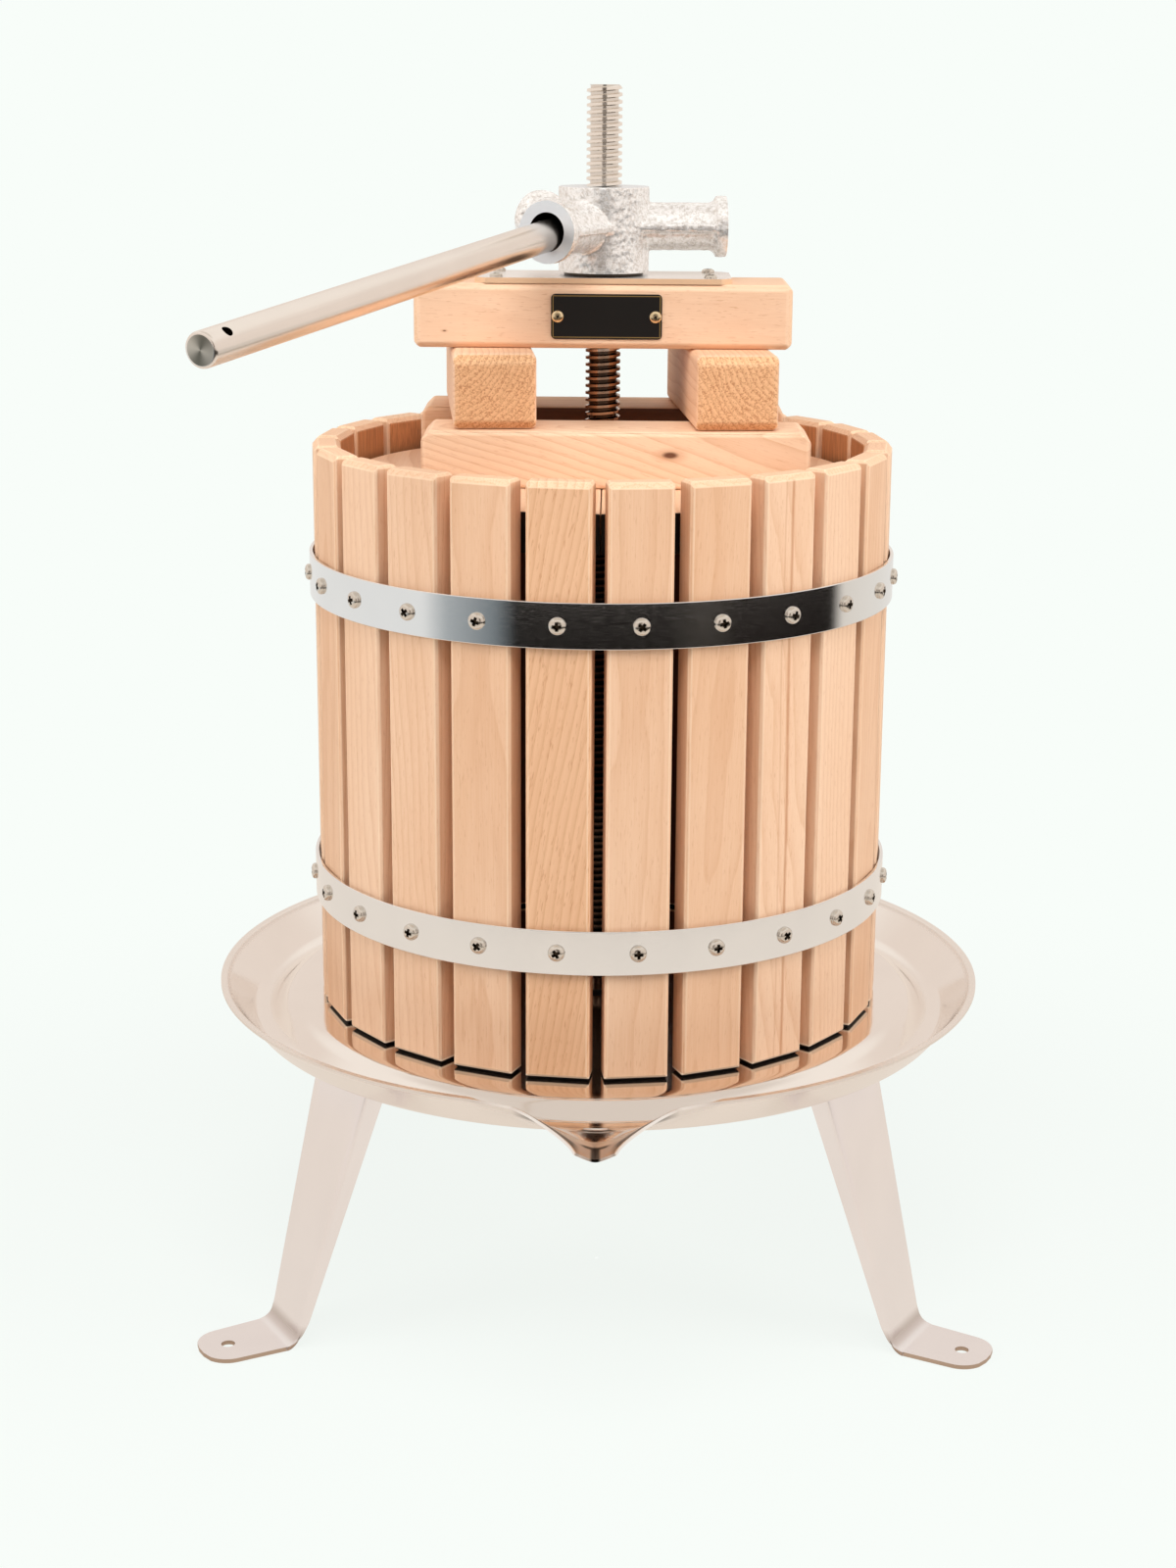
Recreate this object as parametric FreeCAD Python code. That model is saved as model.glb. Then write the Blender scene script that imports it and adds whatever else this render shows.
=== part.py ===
import FreeCAD, Part
import math
import os

os.makedirs("parts", exist_ok=True)
Vector = FreeCAD.Vector

# A basket press for fruit. Lengths are in millimetres. The origin is on the floor on the spindle's axis,
# +Z is up, and the spout points along -Y.
AXIS_Z = Vector(0, 0, 1)

# Clearances
SLIDE_FIT = 0.05      # radial, for a nut on its thread or a screw in its hole
LOOSE_FIT = 0.5       # radial, for the spindle through sheet, plate and washers
WOOD_FIT = 2.0        # radial, for the spindle through the wooden pieces
HOOP_FIT = 0.4        # between the stave corners and the hoop
DISC_FIT = 4.0        # between the disc and the staves, all round

# Feet and legs, folded from sheet
LEG_HEIGHT = 178.5
LEG_SHEET = 2.5
LEG_BEND = 4.0        # inside radius of the two bends
LEG_FOLD = 4.2        # outside radius of the flange folds
LEG_SPREAD = 47.3     # how far the web leans out from its top down to the floor
LEG_TOP_INSET = 2.5   # of the web's top inside the base plate's edge
LEG_WIDTH_FOOT = 41.0
LEG_WIDTH_TOP = 73.0
FLANGE_FOOT = 4.6     # depth of the flanges at their lower end
FLANGE_TOP = 14.4
FLANGE_START = 15.0   # height at which the flanges begin
FOOT_LENGTH = 49.7
FOOT_END_WIDTH = 37.0
FOOT_CORNER = 15.0
FOOT_HOLE_INSET = 16.5
FOOT_HOLE_D = 8.0
TAB_LENGTH = 46.0     # of the tab under the base plate
TAB_WIDTH = 60.0
TAB_CORNER = 8.0
LEG_AZIMUTHS = {"leg_front_left": 210.0, "leg_front_right": 330.0, "leg_rear": 90.0}

# Screws show as plain heads with few sides, hidden rings have few sides too, and bends are flat steps
HEAD_SIDES = 8
HEAD_TAPER = 0.72     # width of a screw head's top to its width
RING_SIDES = 32
BEND_STEPS = 1

# Base plate and the bolts that hold the legs to it from below
PLATE_THICK = 4.0
PLATE_INSET = 18.0    # of the base plate's edge inside the tray's raised middle
BOLT_INSET = 21.0     # of the bolts from the tab's inner end
BOLT_PITCH = 32.0
BOLT_D = 6.0
BOLT_FLATS = 10.0
BOLT_HEAD_H = 4.0

# Juice tray, pressed from one sheet: a raised middle, a gutter round it, a wall and a flat lip
TRAY_SHEET = 1.5
PLATEAU_LEDGE = 20.0  # of the raised middle beyond the staves
SHOULDER_RUN = 11.0
GUTTER_WIDTH = 8.5
GUTTER_DROP = 11.5    # from the raised middle down to the gutter
WALL_RUN = 17.9
LIP_WIDTH = 3.6
RIM_RISE = 10.4       # of the rim above the raised middle
SHOULDER_BEND = 14.0
WALL_BEND = 9.0

# Spout, pressed out of the tray's wall
SPOUT_REACH = 22.0    # beyond the rim
SPOUT_MOUTH = 45.0    # half width at the rim
SPOUT_TIP = 11.0      # half width at the tip
SPOUT_TIP_DEPTH = 6.0
SPOUT_FLOOR_MOUTH = 12.0
SPOUT_FLOOR_TIP = 3.0
SPOUT_FLARE = 1.6
SPOUT_FALL = 1.3
SPOUT_STATIONS = 6

# Spindle with its collar, seal, washer and nut
SPINDLE_D = 20.0
SPINDLE_ABOVE_TRAY = 528.0
SPINDLE_BELOW_NUT = 7.5
SPINDLE_POINT = 3.0
COLLAR_D = 46.0
COLLAR_H = 8.0
SEAL_H = 2.0
BASE_WASHER_D = 44.0
BASE_WASHER_H = 3.0
BASE_NUT_FLATS = 30.0
BASE_NUT_H = 16.0

# Basket of staves and its two hoops
STAVE_COUNT = 24
STAVE_GAP = 4.5       # between neighbouring staves at their inner faces
STAVE_THICK = 16.0
STAVE_LENGTH = 330.0
STAVE_EDGE = 1.4
STAVE_END_BEVEL = 3.0
BASKET_R = 150.0      # from the axis to the staves' inner faces
HOOP_WIDTH = 25.0
HOOP_THICK = 2.0
HOOP_INSET = 75.0     # from the staves' ends to the middle of the hoop
HOOP_SCREW_D = 9.4
HOOP_SCREW_H = 2.8

# Pressing disc and the wood stacked on it
DISC_DEPTH = 41.5     # from the basket's top down to the disc's underside
DISC_THICK = 22.0
DISC_SPLIT = 0.6
BATTEN_LENGTH = 216.0
BATTEN_WIDTH = 52.0
BATTEN_THICK = 32.0
BATTEN_EDGE = 1.6
BATTEN_END_EDGE = 5.0  # along the top and bottom of its ends
BATTEN_MARGIN = 0.2   # of the rear batten's corners inside the disc
FRONT_BATTEN_X = 7.8  # of its middle to the right of the axis
BATTEN_GAP = 2.0      # between the front batten and the spindle
BLOCK_WIDTH = 46.0
BLOCK_HEIGHT = 42.0
BLOCK_LENGTH = 155.0
BLOCK_EDGE = 2.0
BLOCK_END_EDGE = 5.0   # along the top and bottom of its ends
BLOCK_YAW = 5.0
LEFT_BLOCK_X = -65.8
RIGHT_BLOCK_X = 68.2
BEAM_LENGTH = 212.0
BEAM_DEPTH = 60.0
BEAM_HEIGHT = 36.0
BEAM_EDGE = 3.0

# Bearing plate, nameplate and thrust washer
BEARING_LENGTH = 144.0
BEARING_INSET = 1.5   # of the plate's long edges inside the beam's
BEARING_THICK = 3.0
BEARING_CLIP = 6.0
BEARING_SCREW_INSET_X = 12.0
BEARING_SCREW_INSET_Y = 7.5
BEARING_SCREW_D = 7.6
BEARING_SCREW_H = 2.2
NAMEPLATE_LENGTH = 62.0
NAMEPLATE_HEIGHT = 25.0
NAMEPLATE_THICK = 0.8
NAMEPLATE_CORNER = 2.5
NAMEPLATE_X = 2.0
NAME_SCREW_INSET = 3.7
NAME_SCREW_D = 7.0
NAME_SCREW_H = 1.6
THRUST_WASHER_D = 45.0
THRUST_WASHER_H = 2.0

# Cast hub with three sockets
HUB_D = 51.0
HUB_HEIGHT = 47.0
HUB_EDGE = 3.0
SOCKET_COUNT = 3
SOCKET_FIRST = 3.5    # azimuth of the first socket in degrees
SOCKET_RISE = 25.0    # of the socket axis above the hub's underside
SOCKET_REACH = 69.0
SOCKET_OUTER_D = 26.5
SOCKET_BORE_D = 21.3
SOCKET_FLOOR_R = 29.5
FLANGE_D = 34.0
FLANGE_WIDTH = 6.0
RIB_WIDTH = 33.0
RIB_THICK = 4.5

# Bar handle
HANDLE_D = 17.0
HANDLE_LENGTH = 363.0
HANDLE_SOCKET = 2     # which socket holds the handle, counted from 0
HANDLE_BEVEL = 1.5
HANDLE_PLAY = 0.15    # left between the bar and the socket where they bear
HANDLE_SEAT = 0.6     # left between the socket's floor and the bar's lowest corner
CROSS_HOLE_D = 5.5
CROSS_HOLE_INSET = 14.0
CROSS_HOLE_TURN = 49.0

# Heights that follow from the sizes
PLATE_TOP = LEG_HEIGHT + PLATE_THICK
TRAY_TOP = PLATE_TOP + TRAY_SHEET
RIM_TOP = TRAY_TOP + RIM_RISE
GUTTER_TOP = TRAY_TOP - GUTTER_DROP
BASKET_TOP = TRAY_TOP + STAVE_LENGTH
DISC_BOTTOM = BASKET_TOP - DISC_DEPTH
DISC_TOP = DISC_BOTTOM + DISC_THICK
BATTEN_TOP = DISC_TOP + BATTEN_THICK
BLOCK_TOP = BATTEN_TOP + BLOCK_HEIGHT
BEAM_TOP = BLOCK_TOP + BEAM_HEIGHT
BEARING_TOP = BEAM_TOP + BEARING_THICK
HUB_BOTTOM = BEARING_TOP + THRUST_WASHER_H
SOCKET_Z = HUB_BOTTOM + SOCKET_RISE
SPINDLE_TOP = TRAY_TOP + SPINDLE_ABOVE_TRAY
SPINDLE_BOTTOM = LEG_HEIGHT - BASE_WASHER_H - BASE_NUT_H - SPINDLE_BELOW_NUT

# Widths and radii that follow from the sizes, from the basket outwards
HOLE_R = SPINDLE_D / 2 + LOOSE_FIT
WOOD_HOLE_R = SPINDLE_D / 2 + WOOD_FIT
DISC_R = BASKET_R - DISC_FIT
STAVE_OUTER = BASKET_R + STAVE_THICK
STAVE_WIDTH = 2 * BASKET_R * math.tan(math.pi / STAVE_COUNT) - STAVE_GAP
HOOP_R = math.hypot(STAVE_OUTER, STAVE_WIDTH / 2 - STAVE_EDGE) + HOOP_FIT
PLATEAU_R = STAVE_OUTER + PLATEAU_LEDGE
GUTTER_IN_R = PLATEAU_R + SHOULDER_RUN
GUTTER_OUT_R = GUTTER_IN_R + GUTTER_WIDTH
RIM_WALL_R = GUTTER_OUT_R + WALL_RUN
RIM_R = RIM_WALL_R + LIP_WIDTH
PLATE_R = PLATEAU_R - PLATE_INSET
LEG_TOP_R = PLATE_R - LEG_TOP_INSET
LEG_FLOOR_R = LEG_TOP_R + LEG_SPREAD
FOOT_END_R = LEG_FLOOR_R + FOOT_LENGTH
FOOT_HOLE_R = FOOT_END_R - FOOT_HOLE_INSET
TAB_END_R = LEG_TOP_R - TAB_LENGTH
BOLT_R = TAB_END_R + BOLT_INSET
FRONT_BATTEN_Y = -(SPINDLE_D / 2 + BATTEN_GAP + BATTEN_WIDTH / 2)
REAR_BATTEN_Y = math.sqrt((DISC_R - BATTEN_MARGIN) ** 2 - (BATTEN_LENGTH / 2) ** 2) - BATTEN_WIDTH / 2
BLOCK_Y = (FRONT_BATTEN_Y + REAR_BATTEN_Y) / 2
BEARING_DEPTH = BEAM_DEPTH - 2 * BEARING_INSET


def outline(corners, radii=None):
    """Closed wire in the XY plane through the corners, each rounded by its radius."""
    count = len(corners)
    radii = radii or [0.0] * count
    points = [Vector(x, y, 0) for x, y in corners]
    pieces = []
    for i, (corner, radius) in enumerate(zip(points, radii)):
        back = points[i - 1] - corner
        ahead = points[(i + 1) % count] - corner
        if radius <= 0:
            pieces.append((corner, corner, None))
            continue
        half = back.getAngle(ahead) / 2
        run = min(radius / math.tan(half), 0.49 * back.Length, 0.49 * ahead.Length)
        back.normalize()
        ahead.normalize()
        inward = (back + ahead).normalize()
        reach = run / math.cos(half)
        middle = corner + inward * (reach - run * math.tan(half))
        pieces.append((corner + back * run, corner + ahead * run, middle))
    edges = []
    for i, (start, end, middle) in enumerate(pieces):
        if middle is not None:
            edges.append(Part.Arc(start, middle, end).toShape())
        following = pieces[(i + 1) % count][0]
        if (following - end).Length > 1e-6:
            edges.append(Part.LineSegment(end, following).toShape())
    return Part.Wire(edges)


def eased(corners, radii):
    """Corners with each bend of a radius replaced by a few points along its curve."""
    points = []
    for i, ((x, y), radius) in enumerate(zip(corners, radii)):
        if radius <= 0:
            points.append((x, y))
            continue
        corner = Vector(x, y, 0)
        back = Vector(*corners[i - 1], 0) - corner
        ahead = Vector(*corners[(i + 1) % len(corners)], 0) - corner
        run = radius / math.tan(back.getAngle(ahead) / 2)
        start = corner + back.normalize() * run
        end = corner + ahead.normalize() * run
        for step in range(BEND_STEPS + 1):
            t = step / BEND_STEPS
            place = start * (1 - t) ** 2 + corner * (2 * t * (1 - t)) + end * t**2
            points.append((place.x, place.y))
    return points


def prism_up(wire, low, high):
    """Prism over a wire of the XY plane, between two heights."""
    face = Part.Face(wire)
    face.translate(Vector(0, 0, low))
    return face.extrude(Vector(0, 0, high - low))


def prism_side(wire, near, far):
    """Prism whose wire's x and y are X and Z, between two places along Y."""
    face = Part.Face(wire)
    face.rotate(Vector(), Vector(1, 0, 0), 90)
    face.translate(Vector(0, near, 0))
    return face.extrude(Vector(0, far - near, 0))


def prism_front(wire, near, far):
    """Prism whose wire's x and y are Y and Z, between two places along X."""
    face = Part.Face(wire)
    face.rotate(Vector(), Vector(1, 0, 0), 90)
    face.rotate(Vector(), AXIS_Z, 90)
    face.translate(Vector(near, 0, 0))
    return face.extrude(Vector(far - near, 0, 0))


def turned(corners, radii=None):
    """Solid turned about the Z axis from corners given as radius and height."""
    face = Part.Face(outline(corners, radii))
    face.rotate(Vector(), Vector(1, 0, 0), 90)
    return face.revolve(Vector(), AXIS_Z, 360)


def ring(inner_r, outer_r, low, high):
    """Plain ring about the Z axis."""
    return turned([(inner_r, low), (outer_r, low), (outer_r, high), (inner_r, high)])


def polygon(sides, corner_r):
    """Corners of a regular polygon, measured from its middle to its corners."""
    angles = [2 * math.pi * i / sides for i in range(sides)]
    return [(corner_r * math.cos(a), corner_r * math.sin(a)) for a in angles]


def flat_sided(rings):
    """Solid with flat sides through rings of corners, which all have as many corners."""
    faces = [Part.Face(Part.makePolygon(ring + ring[:1])) for ring in (rings[0], rings[-1])]
    for low, high in zip(rings, rings[1:]):
        for i in range(len(low)):
            a, b, c, d = low[i - 1], low[i], high[i], high[i - 1]
            for corners in ([a, b, c], [a, c, d]):
                faces.append(Part.Face(Part.makePolygon(corners + corners[:1])))
    solid = Part.Solid(Part.Shell(faces))
    if solid.Volume < 0:
        solid.reverse()
    return solid.removeSplitter()


def hexagon(flats):
    """Wire of a hexagon, measured across its flats."""
    return outline(polygon(6, flats / math.sqrt(3)))


def washer(inner_r, outer_r, low, high):
    """Washer about the Z axis, drawn with few sides that stay clear of its hole."""
    clear_r = inner_r / math.cos(math.pi / RING_SIDES)
    solid = prism_up(outline(polygon(RING_SIDES, outer_r)), low, high)
    return solid.cut(prism_up(outline(polygon(RING_SIDES, clear_r)), low, high))


def placed(shape, azimuth):
    """Copy of a shape built along +X, turned to its azimuth."""
    copy = shape.copy()
    copy.rotate(Vector(), AXIS_Z, azimuth)
    return copy


def box(x0, x1, y0, y1, z0, z1):
    """Box between its lowest and highest corners."""
    return Part.makeBox(x1 - x0, y1 - y0, z1 - z0, Vector(x0, y0, z0))


def board(length, width, height, edge, end_edge):
    """Sawn board with bevelled edges, centred on the axis and standing on z = 0."""
    x, y = length / 2, width / 2
    plan = beveled(x, y, edge)
    front = [(px, pz + height / 2) for px, pz in beveled(x, height / 2, end_edge)]
    side = [(py, pz + height / 2) for py, pz in beveled(y, height / 2, edge)]
    solid = prism_up(outline(plan), 0, height)
    solid = solid.common(prism_side(outline(front), -y, y))
    return solid.common(prism_front(outline(side), -x, x))


def beveled(x, y, bevel):
    """Corners of a rectangle of half sizes x and y with its corners cut off."""
    quarter = [(x, y - bevel), (x - bevel, y)]
    corners = list(quarter)
    corners += [(-px, py) for px, py in reversed(quarter)]
    corners += [(-px, -py) for px, py in quarter]
    corners += [(px, -py) for px, py in reversed(quarter)]
    return corners


def screw_head(diameter, height):
    """Head of a screw with its underside at z = 0. Its shank and thread are left out."""
    foot = [Vector(x, y, 0) for x, y in polygon(HEAD_SIDES, diameter / 2)]
    top = [Vector(x, y, height) for x, y in polygon(HEAD_SIDES, diameter / 2 * HEAD_TAPER)]
    return flat_sided([foot, top])


def save(name, shape):
    """Writes one piece, or a group of alike pieces, to its own file."""
    if isinstance(shape, list):
        shape = Part.makeCompound(shape)
    shape.exportStep(os.path.join("parts", name + ".step"))


# Legs
LEAN = (LEG_FLOOR_R - LEG_TOP_R) / LEG_HEIGHT
WEB_ACROSS = LEG_SHEET * math.hypot(1, LEAN)


def web_radius(z):
    """Radius of the web's outer face at a height."""
    return LEG_FLOOR_R - LEAN * z


def leg_half_width(z):
    """Half the width of the leg at a height."""
    return (LEG_WIDTH_FOOT + (LEG_WIDTH_TOP - LEG_WIDTH_FOOT) * z / LEG_HEIGHT) / 2


def channel_section(z, depth):
    """Corners of the web with its two folded flanges, at a height."""
    face = web_radius(z)
    half = leg_half_width(z)
    right = [
        (face, half),
        (face - depth, half),
        (face - depth, half - LEG_SHEET),
        (face - WEB_ACROSS, half - LEG_SHEET),
    ]
    left = [(x, -y) for x, y in reversed(right)]
    radii = [LEG_FOLD, 0, 0, LEG_FOLD - LEG_SHEET]
    return [Vector(x, y, z) for x, y in eased(right + left, radii + radii[::-1])]


def leg():
    """Leg along +X: a foot tab, a leaning web with folded flanges and a tab under the base plate."""
    outside_bend = LEG_BEND + LEG_SHEET
    side_corners = [
        (FOOT_END_R, LEG_SHEET),
        (web_radius(LEG_SHEET), LEG_SHEET),
        (LEG_TOP_R, LEG_HEIGHT),
        (TAB_END_R, LEG_HEIGHT),
        (TAB_END_R, LEG_HEIGHT - LEG_SHEET),
        (web_radius(LEG_HEIGHT - LEG_SHEET) - WEB_ACROSS, LEG_HEIGHT - LEG_SHEET),
        (LEG_FLOOR_R - WEB_ACROSS, 0),
        (FOOT_END_R, 0),
    ]
    side_radii = [0, LEG_BEND, outside_bend, 0, 0, LEG_BEND, outside_bend, 0]
    reach = LEG_WIDTH_TOP
    strip = prism_side(outline(side_corners, side_radii), -reach, reach)

    flange_end = LEG_HEIGHT - outside_bend - LEG_SHEET
    foot_half = LEG_WIDTH_FOOT / 2
    start_half = leg_half_width(FLANGE_START)
    end_flat = leg_half_width(flange_end) - LEG_FOLD
    right = [
        (foot_half, -1),
        (start_half, FLANGE_START),
        (start_half - LEG_FOLD, FLANGE_START),
        (end_flat, flange_end),
        (end_flat, LEG_HEIGHT + 1),
    ]
    left = [(-y, z) for y, z in reversed(right)]
    strip = strip.common(prism_front(outline(right + left), TAB_END_R - 1, FOOT_END_R + 1))

    foot_start = LEG_FLOOR_R + LEG_BEND
    tab_start = LEG_TOP_R - 2 * outside_bend
    right = [
        (FOOT_END_R, FOOT_END_WIDTH / 2),
        (foot_start, foot_half),
        (foot_start, reach),
        (tab_start, reach),
        (tab_start, TAB_WIDTH / 2),
        (TAB_END_R, TAB_WIDTH / 2),
    ]
    left = [(x, -y) for x, y in reversed(right)]
    plan_radii = [FOOT_CORNER, 0, 0, 0, 0, TAB_CORNER]
    plan = outline(right + left, plan_radii + plan_radii[::-1])
    strip = strip.common(prism_up(plan, -1, LEG_HEIGHT + 1))

    low = channel_section(FLANGE_START, FLANGE_FOOT)
    high = channel_section(flange_end, FLANGE_TOP)
    solid = strip.fuse(flat_sided([low, high])).removeSplitter()
    hole = Part.makeCylinder(FOOT_HOLE_D / 2, 3 * LEG_SHEET, Vector(FOOT_HOLE_R, 0, -LEG_SHEET))
    solid = solid.cut(hole)
    for x, y in bolt_places():
        solid = solid.cut(bolt_hole(x, y))
    return solid


def bolt_places():
    """Places of one leg's two bolts, for a leg along +X."""
    return [(BOLT_R, -BOLT_PITCH / 2), (BOLT_R, BOLT_PITCH / 2)]


def bolt(x, y):
    """Bolt from below through a leg's tab into the base plate, its thread left out."""
    tab_low = LEG_HEIGHT - LEG_SHEET
    head = prism_up(hexagon(BOLT_FLATS), tab_low - BOLT_HEAD_H, tab_low)
    solid = head.fuse(prism_up(hexagon(BOLT_D), tab_low, PLATE_TOP - SLIDE_FIT))
    solid.translate(Vector(x, y, 0))
    return solid


def bolt_hole(x, y):
    """Hole for a bolt through a leg's tab and the base plate."""
    cut = prism_up(hexagon(BOLT_D + 2 * SLIDE_FIT), LEG_HEIGHT - 2 * LEG_SHEET, PLATE_TOP + 1)
    cut.translate(Vector(x, y, 0))
    return cut


def make_legs():
    """The three legs with their bolts, and the base plate they carry."""
    shape = leg()
    bolts = []
    plate = ring(HOLE_R, PLATE_R, LEG_HEIGHT, PLATE_TOP)
    for name, azimuth in LEG_AZIMUTHS.items():
        save(name, placed(shape, azimuth))
        for x, y in bolt_places():
            bolts.append(placed(bolt(x, y), azimuth))
            plate = plate.cut(placed(bolt_hole(x, y), azimuth))
    save("leg_bolts", bolts)
    save("base_plate", plate)


# Juice tray
def shifted_chain(points, distance):
    """Open chain of corners moved sideways by a distance, to the right of its run."""
    lines = []
    for (x0, y0), (x1, y1) in zip(points, points[1:]):
        length = math.hypot(x1 - x0, y1 - y0)
        across = ((y1 - y0) / length * distance, -(x1 - x0) / length * distance)
        lines.append((x0 + across[0], y0 + across[1], x1 - x0, y1 - y0))
    moved = [(lines[0][0], lines[0][1])]
    for (ax, ay, adx, ady), (bx, by, bdx, bdy) in zip(lines, lines[1:]):
        along = ((bx - ax) * bdy - (by - ay) * bdx) / (adx * bdy - ady * bdx)
        moved.append((ax + adx * along, ay + ady * along))
    last = lines[-1]
    moved.append((last[0] + last[2], last[1] + last[3]))
    return moved


def tray_chain():
    """Upper face of the tray from the spindle hole out to the edge of the lip."""
    return [
        (HOLE_R, TRAY_TOP),
        (PLATEAU_R, TRAY_TOP),
        (GUTTER_IN_R, GUTTER_TOP),
        (GUTTER_OUT_R, GUTTER_TOP),
        (RIM_WALL_R, RIM_TOP),
        (RIM_R, RIM_TOP),
    ]


def spout_section(share, sheet, above):
    """Corners across the spout at a share of its reach, widened by a sheet's thickness."""
    share_left = max(1 - share, 0)
    start = RIM_WALL_R
    y = -(start + (RIM_R + SPOUT_REACH - start) * share)
    tip_edge = GUTTER_TOP + SPOUT_TIP_DEPTH
    edge_z = min(tip_edge + (RIM_TOP - tip_edge) * share_left**SPOUT_FALL, RIM_TOP)
    edge_x = SPOUT_TIP + (SPOUT_MOUTH - SPOUT_TIP) * share_left**SPOUT_FLARE
    floor_x = SPOUT_FLOOR_TIP + (SPOUT_FLOOR_MOUTH - SPOUT_FLOOR_TIP) * share_left**SPOUT_FLARE
    floor_z = GUTTER_TOP + 0.2 * share_left
    run, rise = edge_x - floor_x, edge_z - floor_z
    slant = math.hypot(run, rise)
    wider = sheet * slant / rise
    low_z = floor_z - sheet
    floor_wide = floor_x + wider - sheet * run / rise
    top_z = edge_z + above
    top_x = edge_x + wider + above * run / rise
    corners = [(-top_x, top_z), (-floor_wide, low_z), (floor_wide, low_z), (top_x, top_z)]
    return [Vector(x, y, z) for x, z in corners]


def tray():
    """Pressed tray with its spout."""
    upper = tray_chain()
    lower = shifted_chain(upper, TRAY_SHEET)
    upper_radii = [0, SHOULDER_BEND, 0, WALL_BEND, 0, 0]
    lower_radii = [0, SHOULDER_BEND - TRAY_SHEET, 0, WALL_BEND + TRAY_SHEET, 0, 0]
    dish = turned(eased(upper + lower[::-1], upper_radii + lower_radii[::-1]))
    inside = [(0, TRAY_TOP)] + upper[1:] + [(RIM_R, RIM_TOP + 30), (0, RIM_TOP + 30)]
    space = turned(eased(inside, [0] + upper_radii[1:] + [0, 0]))

    first = -0.62
    shares = [first + (1 - first) * i / (SPOUT_STATIONS - 1) for i in range(SPOUT_STATIONS)]
    outer = flat_sided([spout_section(s, TRAY_SHEET, 0) for s in shares])
    inner = flat_sided([spout_section(s, 0, 12) for s in shares + [1.1]])
    return dish.fuse(outer.cut(space)).cut(inner)


make_legs()
save("tray", tray())


# Spindle and what holds it down
def make_spindle():
    """Spindle with its collar, and the seal, washer and nut at the base."""
    r = SPINDLE_D / 2
    collar_low = TRAY_TOP + SEAL_H
    collar_high = collar_low + COLLAR_H
    corners = [
        (0, SPINDLE_BOTTOM),
        (r - SPINDLE_POINT / 2, SPINDLE_BOTTOM),
        (r, SPINDLE_BOTTOM + SPINDLE_POINT / 2),
        (r, collar_low),
        (COLLAR_D / 2, collar_low),
        (COLLAR_D / 2, collar_high - SPINDLE_POINT),
        (COLLAR_D / 2 - SPINDLE_POINT, collar_high),
        (r, collar_high),
        (r, SPINDLE_TOP - SPINDLE_POINT),
        (r - SPINDLE_POINT, SPINDLE_TOP),
        (0, SPINDLE_TOP),
    ]
    save("spindle", turned(corners))
    save("spindle_seal", washer(r + SLIDE_FIT, COLLAR_D / 2, TRAY_TOP, collar_low))
    washer_low = LEG_HEIGHT - BASE_WASHER_H
    save("base_washer", washer(HOLE_R, BASE_WASHER_D / 2, washer_low, LEG_HEIGHT))
    nut_low = washer_low - BASE_NUT_H
    nut = prism_up(hexagon(BASE_NUT_FLATS), nut_low, washer_low)
    nut = nut.cut(Part.makeCylinder(r + SLIDE_FIT, BASE_NUT_H + 2, Vector(0, 0, nut_low - 1)))
    save("base_nut", nut)


make_spindle()


# Basket
HOOP_HEIGHTS = {
    "lower_hoop": TRAY_TOP + HOOP_INSET,
    "upper_hoop": BASKET_TOP - HOOP_INSET,
}


def hoop_screw(z):
    """Screw head along +X with its underside on the hoop."""
    copy = screw_head(HOOP_SCREW_D, HOOP_SCREW_H)
    copy.rotate(Vector(), Vector(0, 1, 0), 90)
    copy.translate(Vector(HOOP_R + HOOP_THICK, 0, z))
    return copy


def stave():
    """Stave along +X, bevelled along its edges and at both ends."""
    half = STAVE_WIDTH / 2
    low, high = TRAY_TOP, BASKET_TOP
    inner, outer = BASKET_R, STAVE_OUTER
    edge, end = STAVE_EDGE, STAVE_END_BEVEL
    middle_x = (inner + outer) / 2
    middle_z = (low + high) / 2
    plan = [(x + middle_x, y) for x, y in beveled(STAVE_THICK / 2, half, edge)]
    side = [(x + middle_x, z + middle_z) for x, z in beveled(STAVE_THICK / 2, STAVE_LENGTH / 2, end)]
    front = [(y, z + middle_z) for y, z in beveled(half, STAVE_LENGTH / 2, edge)]
    solid = prism_up(outline(plan), low, high)
    solid = solid.common(prism_side(outline(side), -half, half))
    return solid.common(prism_front(outline(front), inner, outer))


def make_basket():
    """Ring of staves with its two hoops and their screws."""
    one = stave()
    azimuths = [-90 + (i + 0.5) * 360 / STAVE_COUNT for i in range(STAVE_COUNT)]
    for i, azimuth in enumerate(azimuths):
        save(f"stave_{i + 1:02d}", placed(one, azimuth))
    for name, z in HOOP_HEIGHTS.items():
        low = z - HOOP_WIDTH / 2
        save(name, ring(HOOP_R, HOOP_R + HOOP_THICK, low, low + HOOP_WIDTH))
        save(name + "_screws", [placed(hoop_screw(z), azimuth) for azimuth in azimuths])


make_basket()


# Pressing disc and the stacked wood
def half_disc(side):
    """One half of the pressing disc, on the side of +X or -X."""
    disc = ring(WOOD_HOLE_R, DISC_R, DISC_BOTTOM, DISC_TOP)
    split = DISC_SPLIT / 2
    reach = DISC_R + 1
    x0, x1 = (split, reach) if side > 0 else (-reach, -split)
    return disc.common(box(x0, x1, -reach, reach, DISC_BOTTOM - 1, DISC_TOP + 1))


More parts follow.
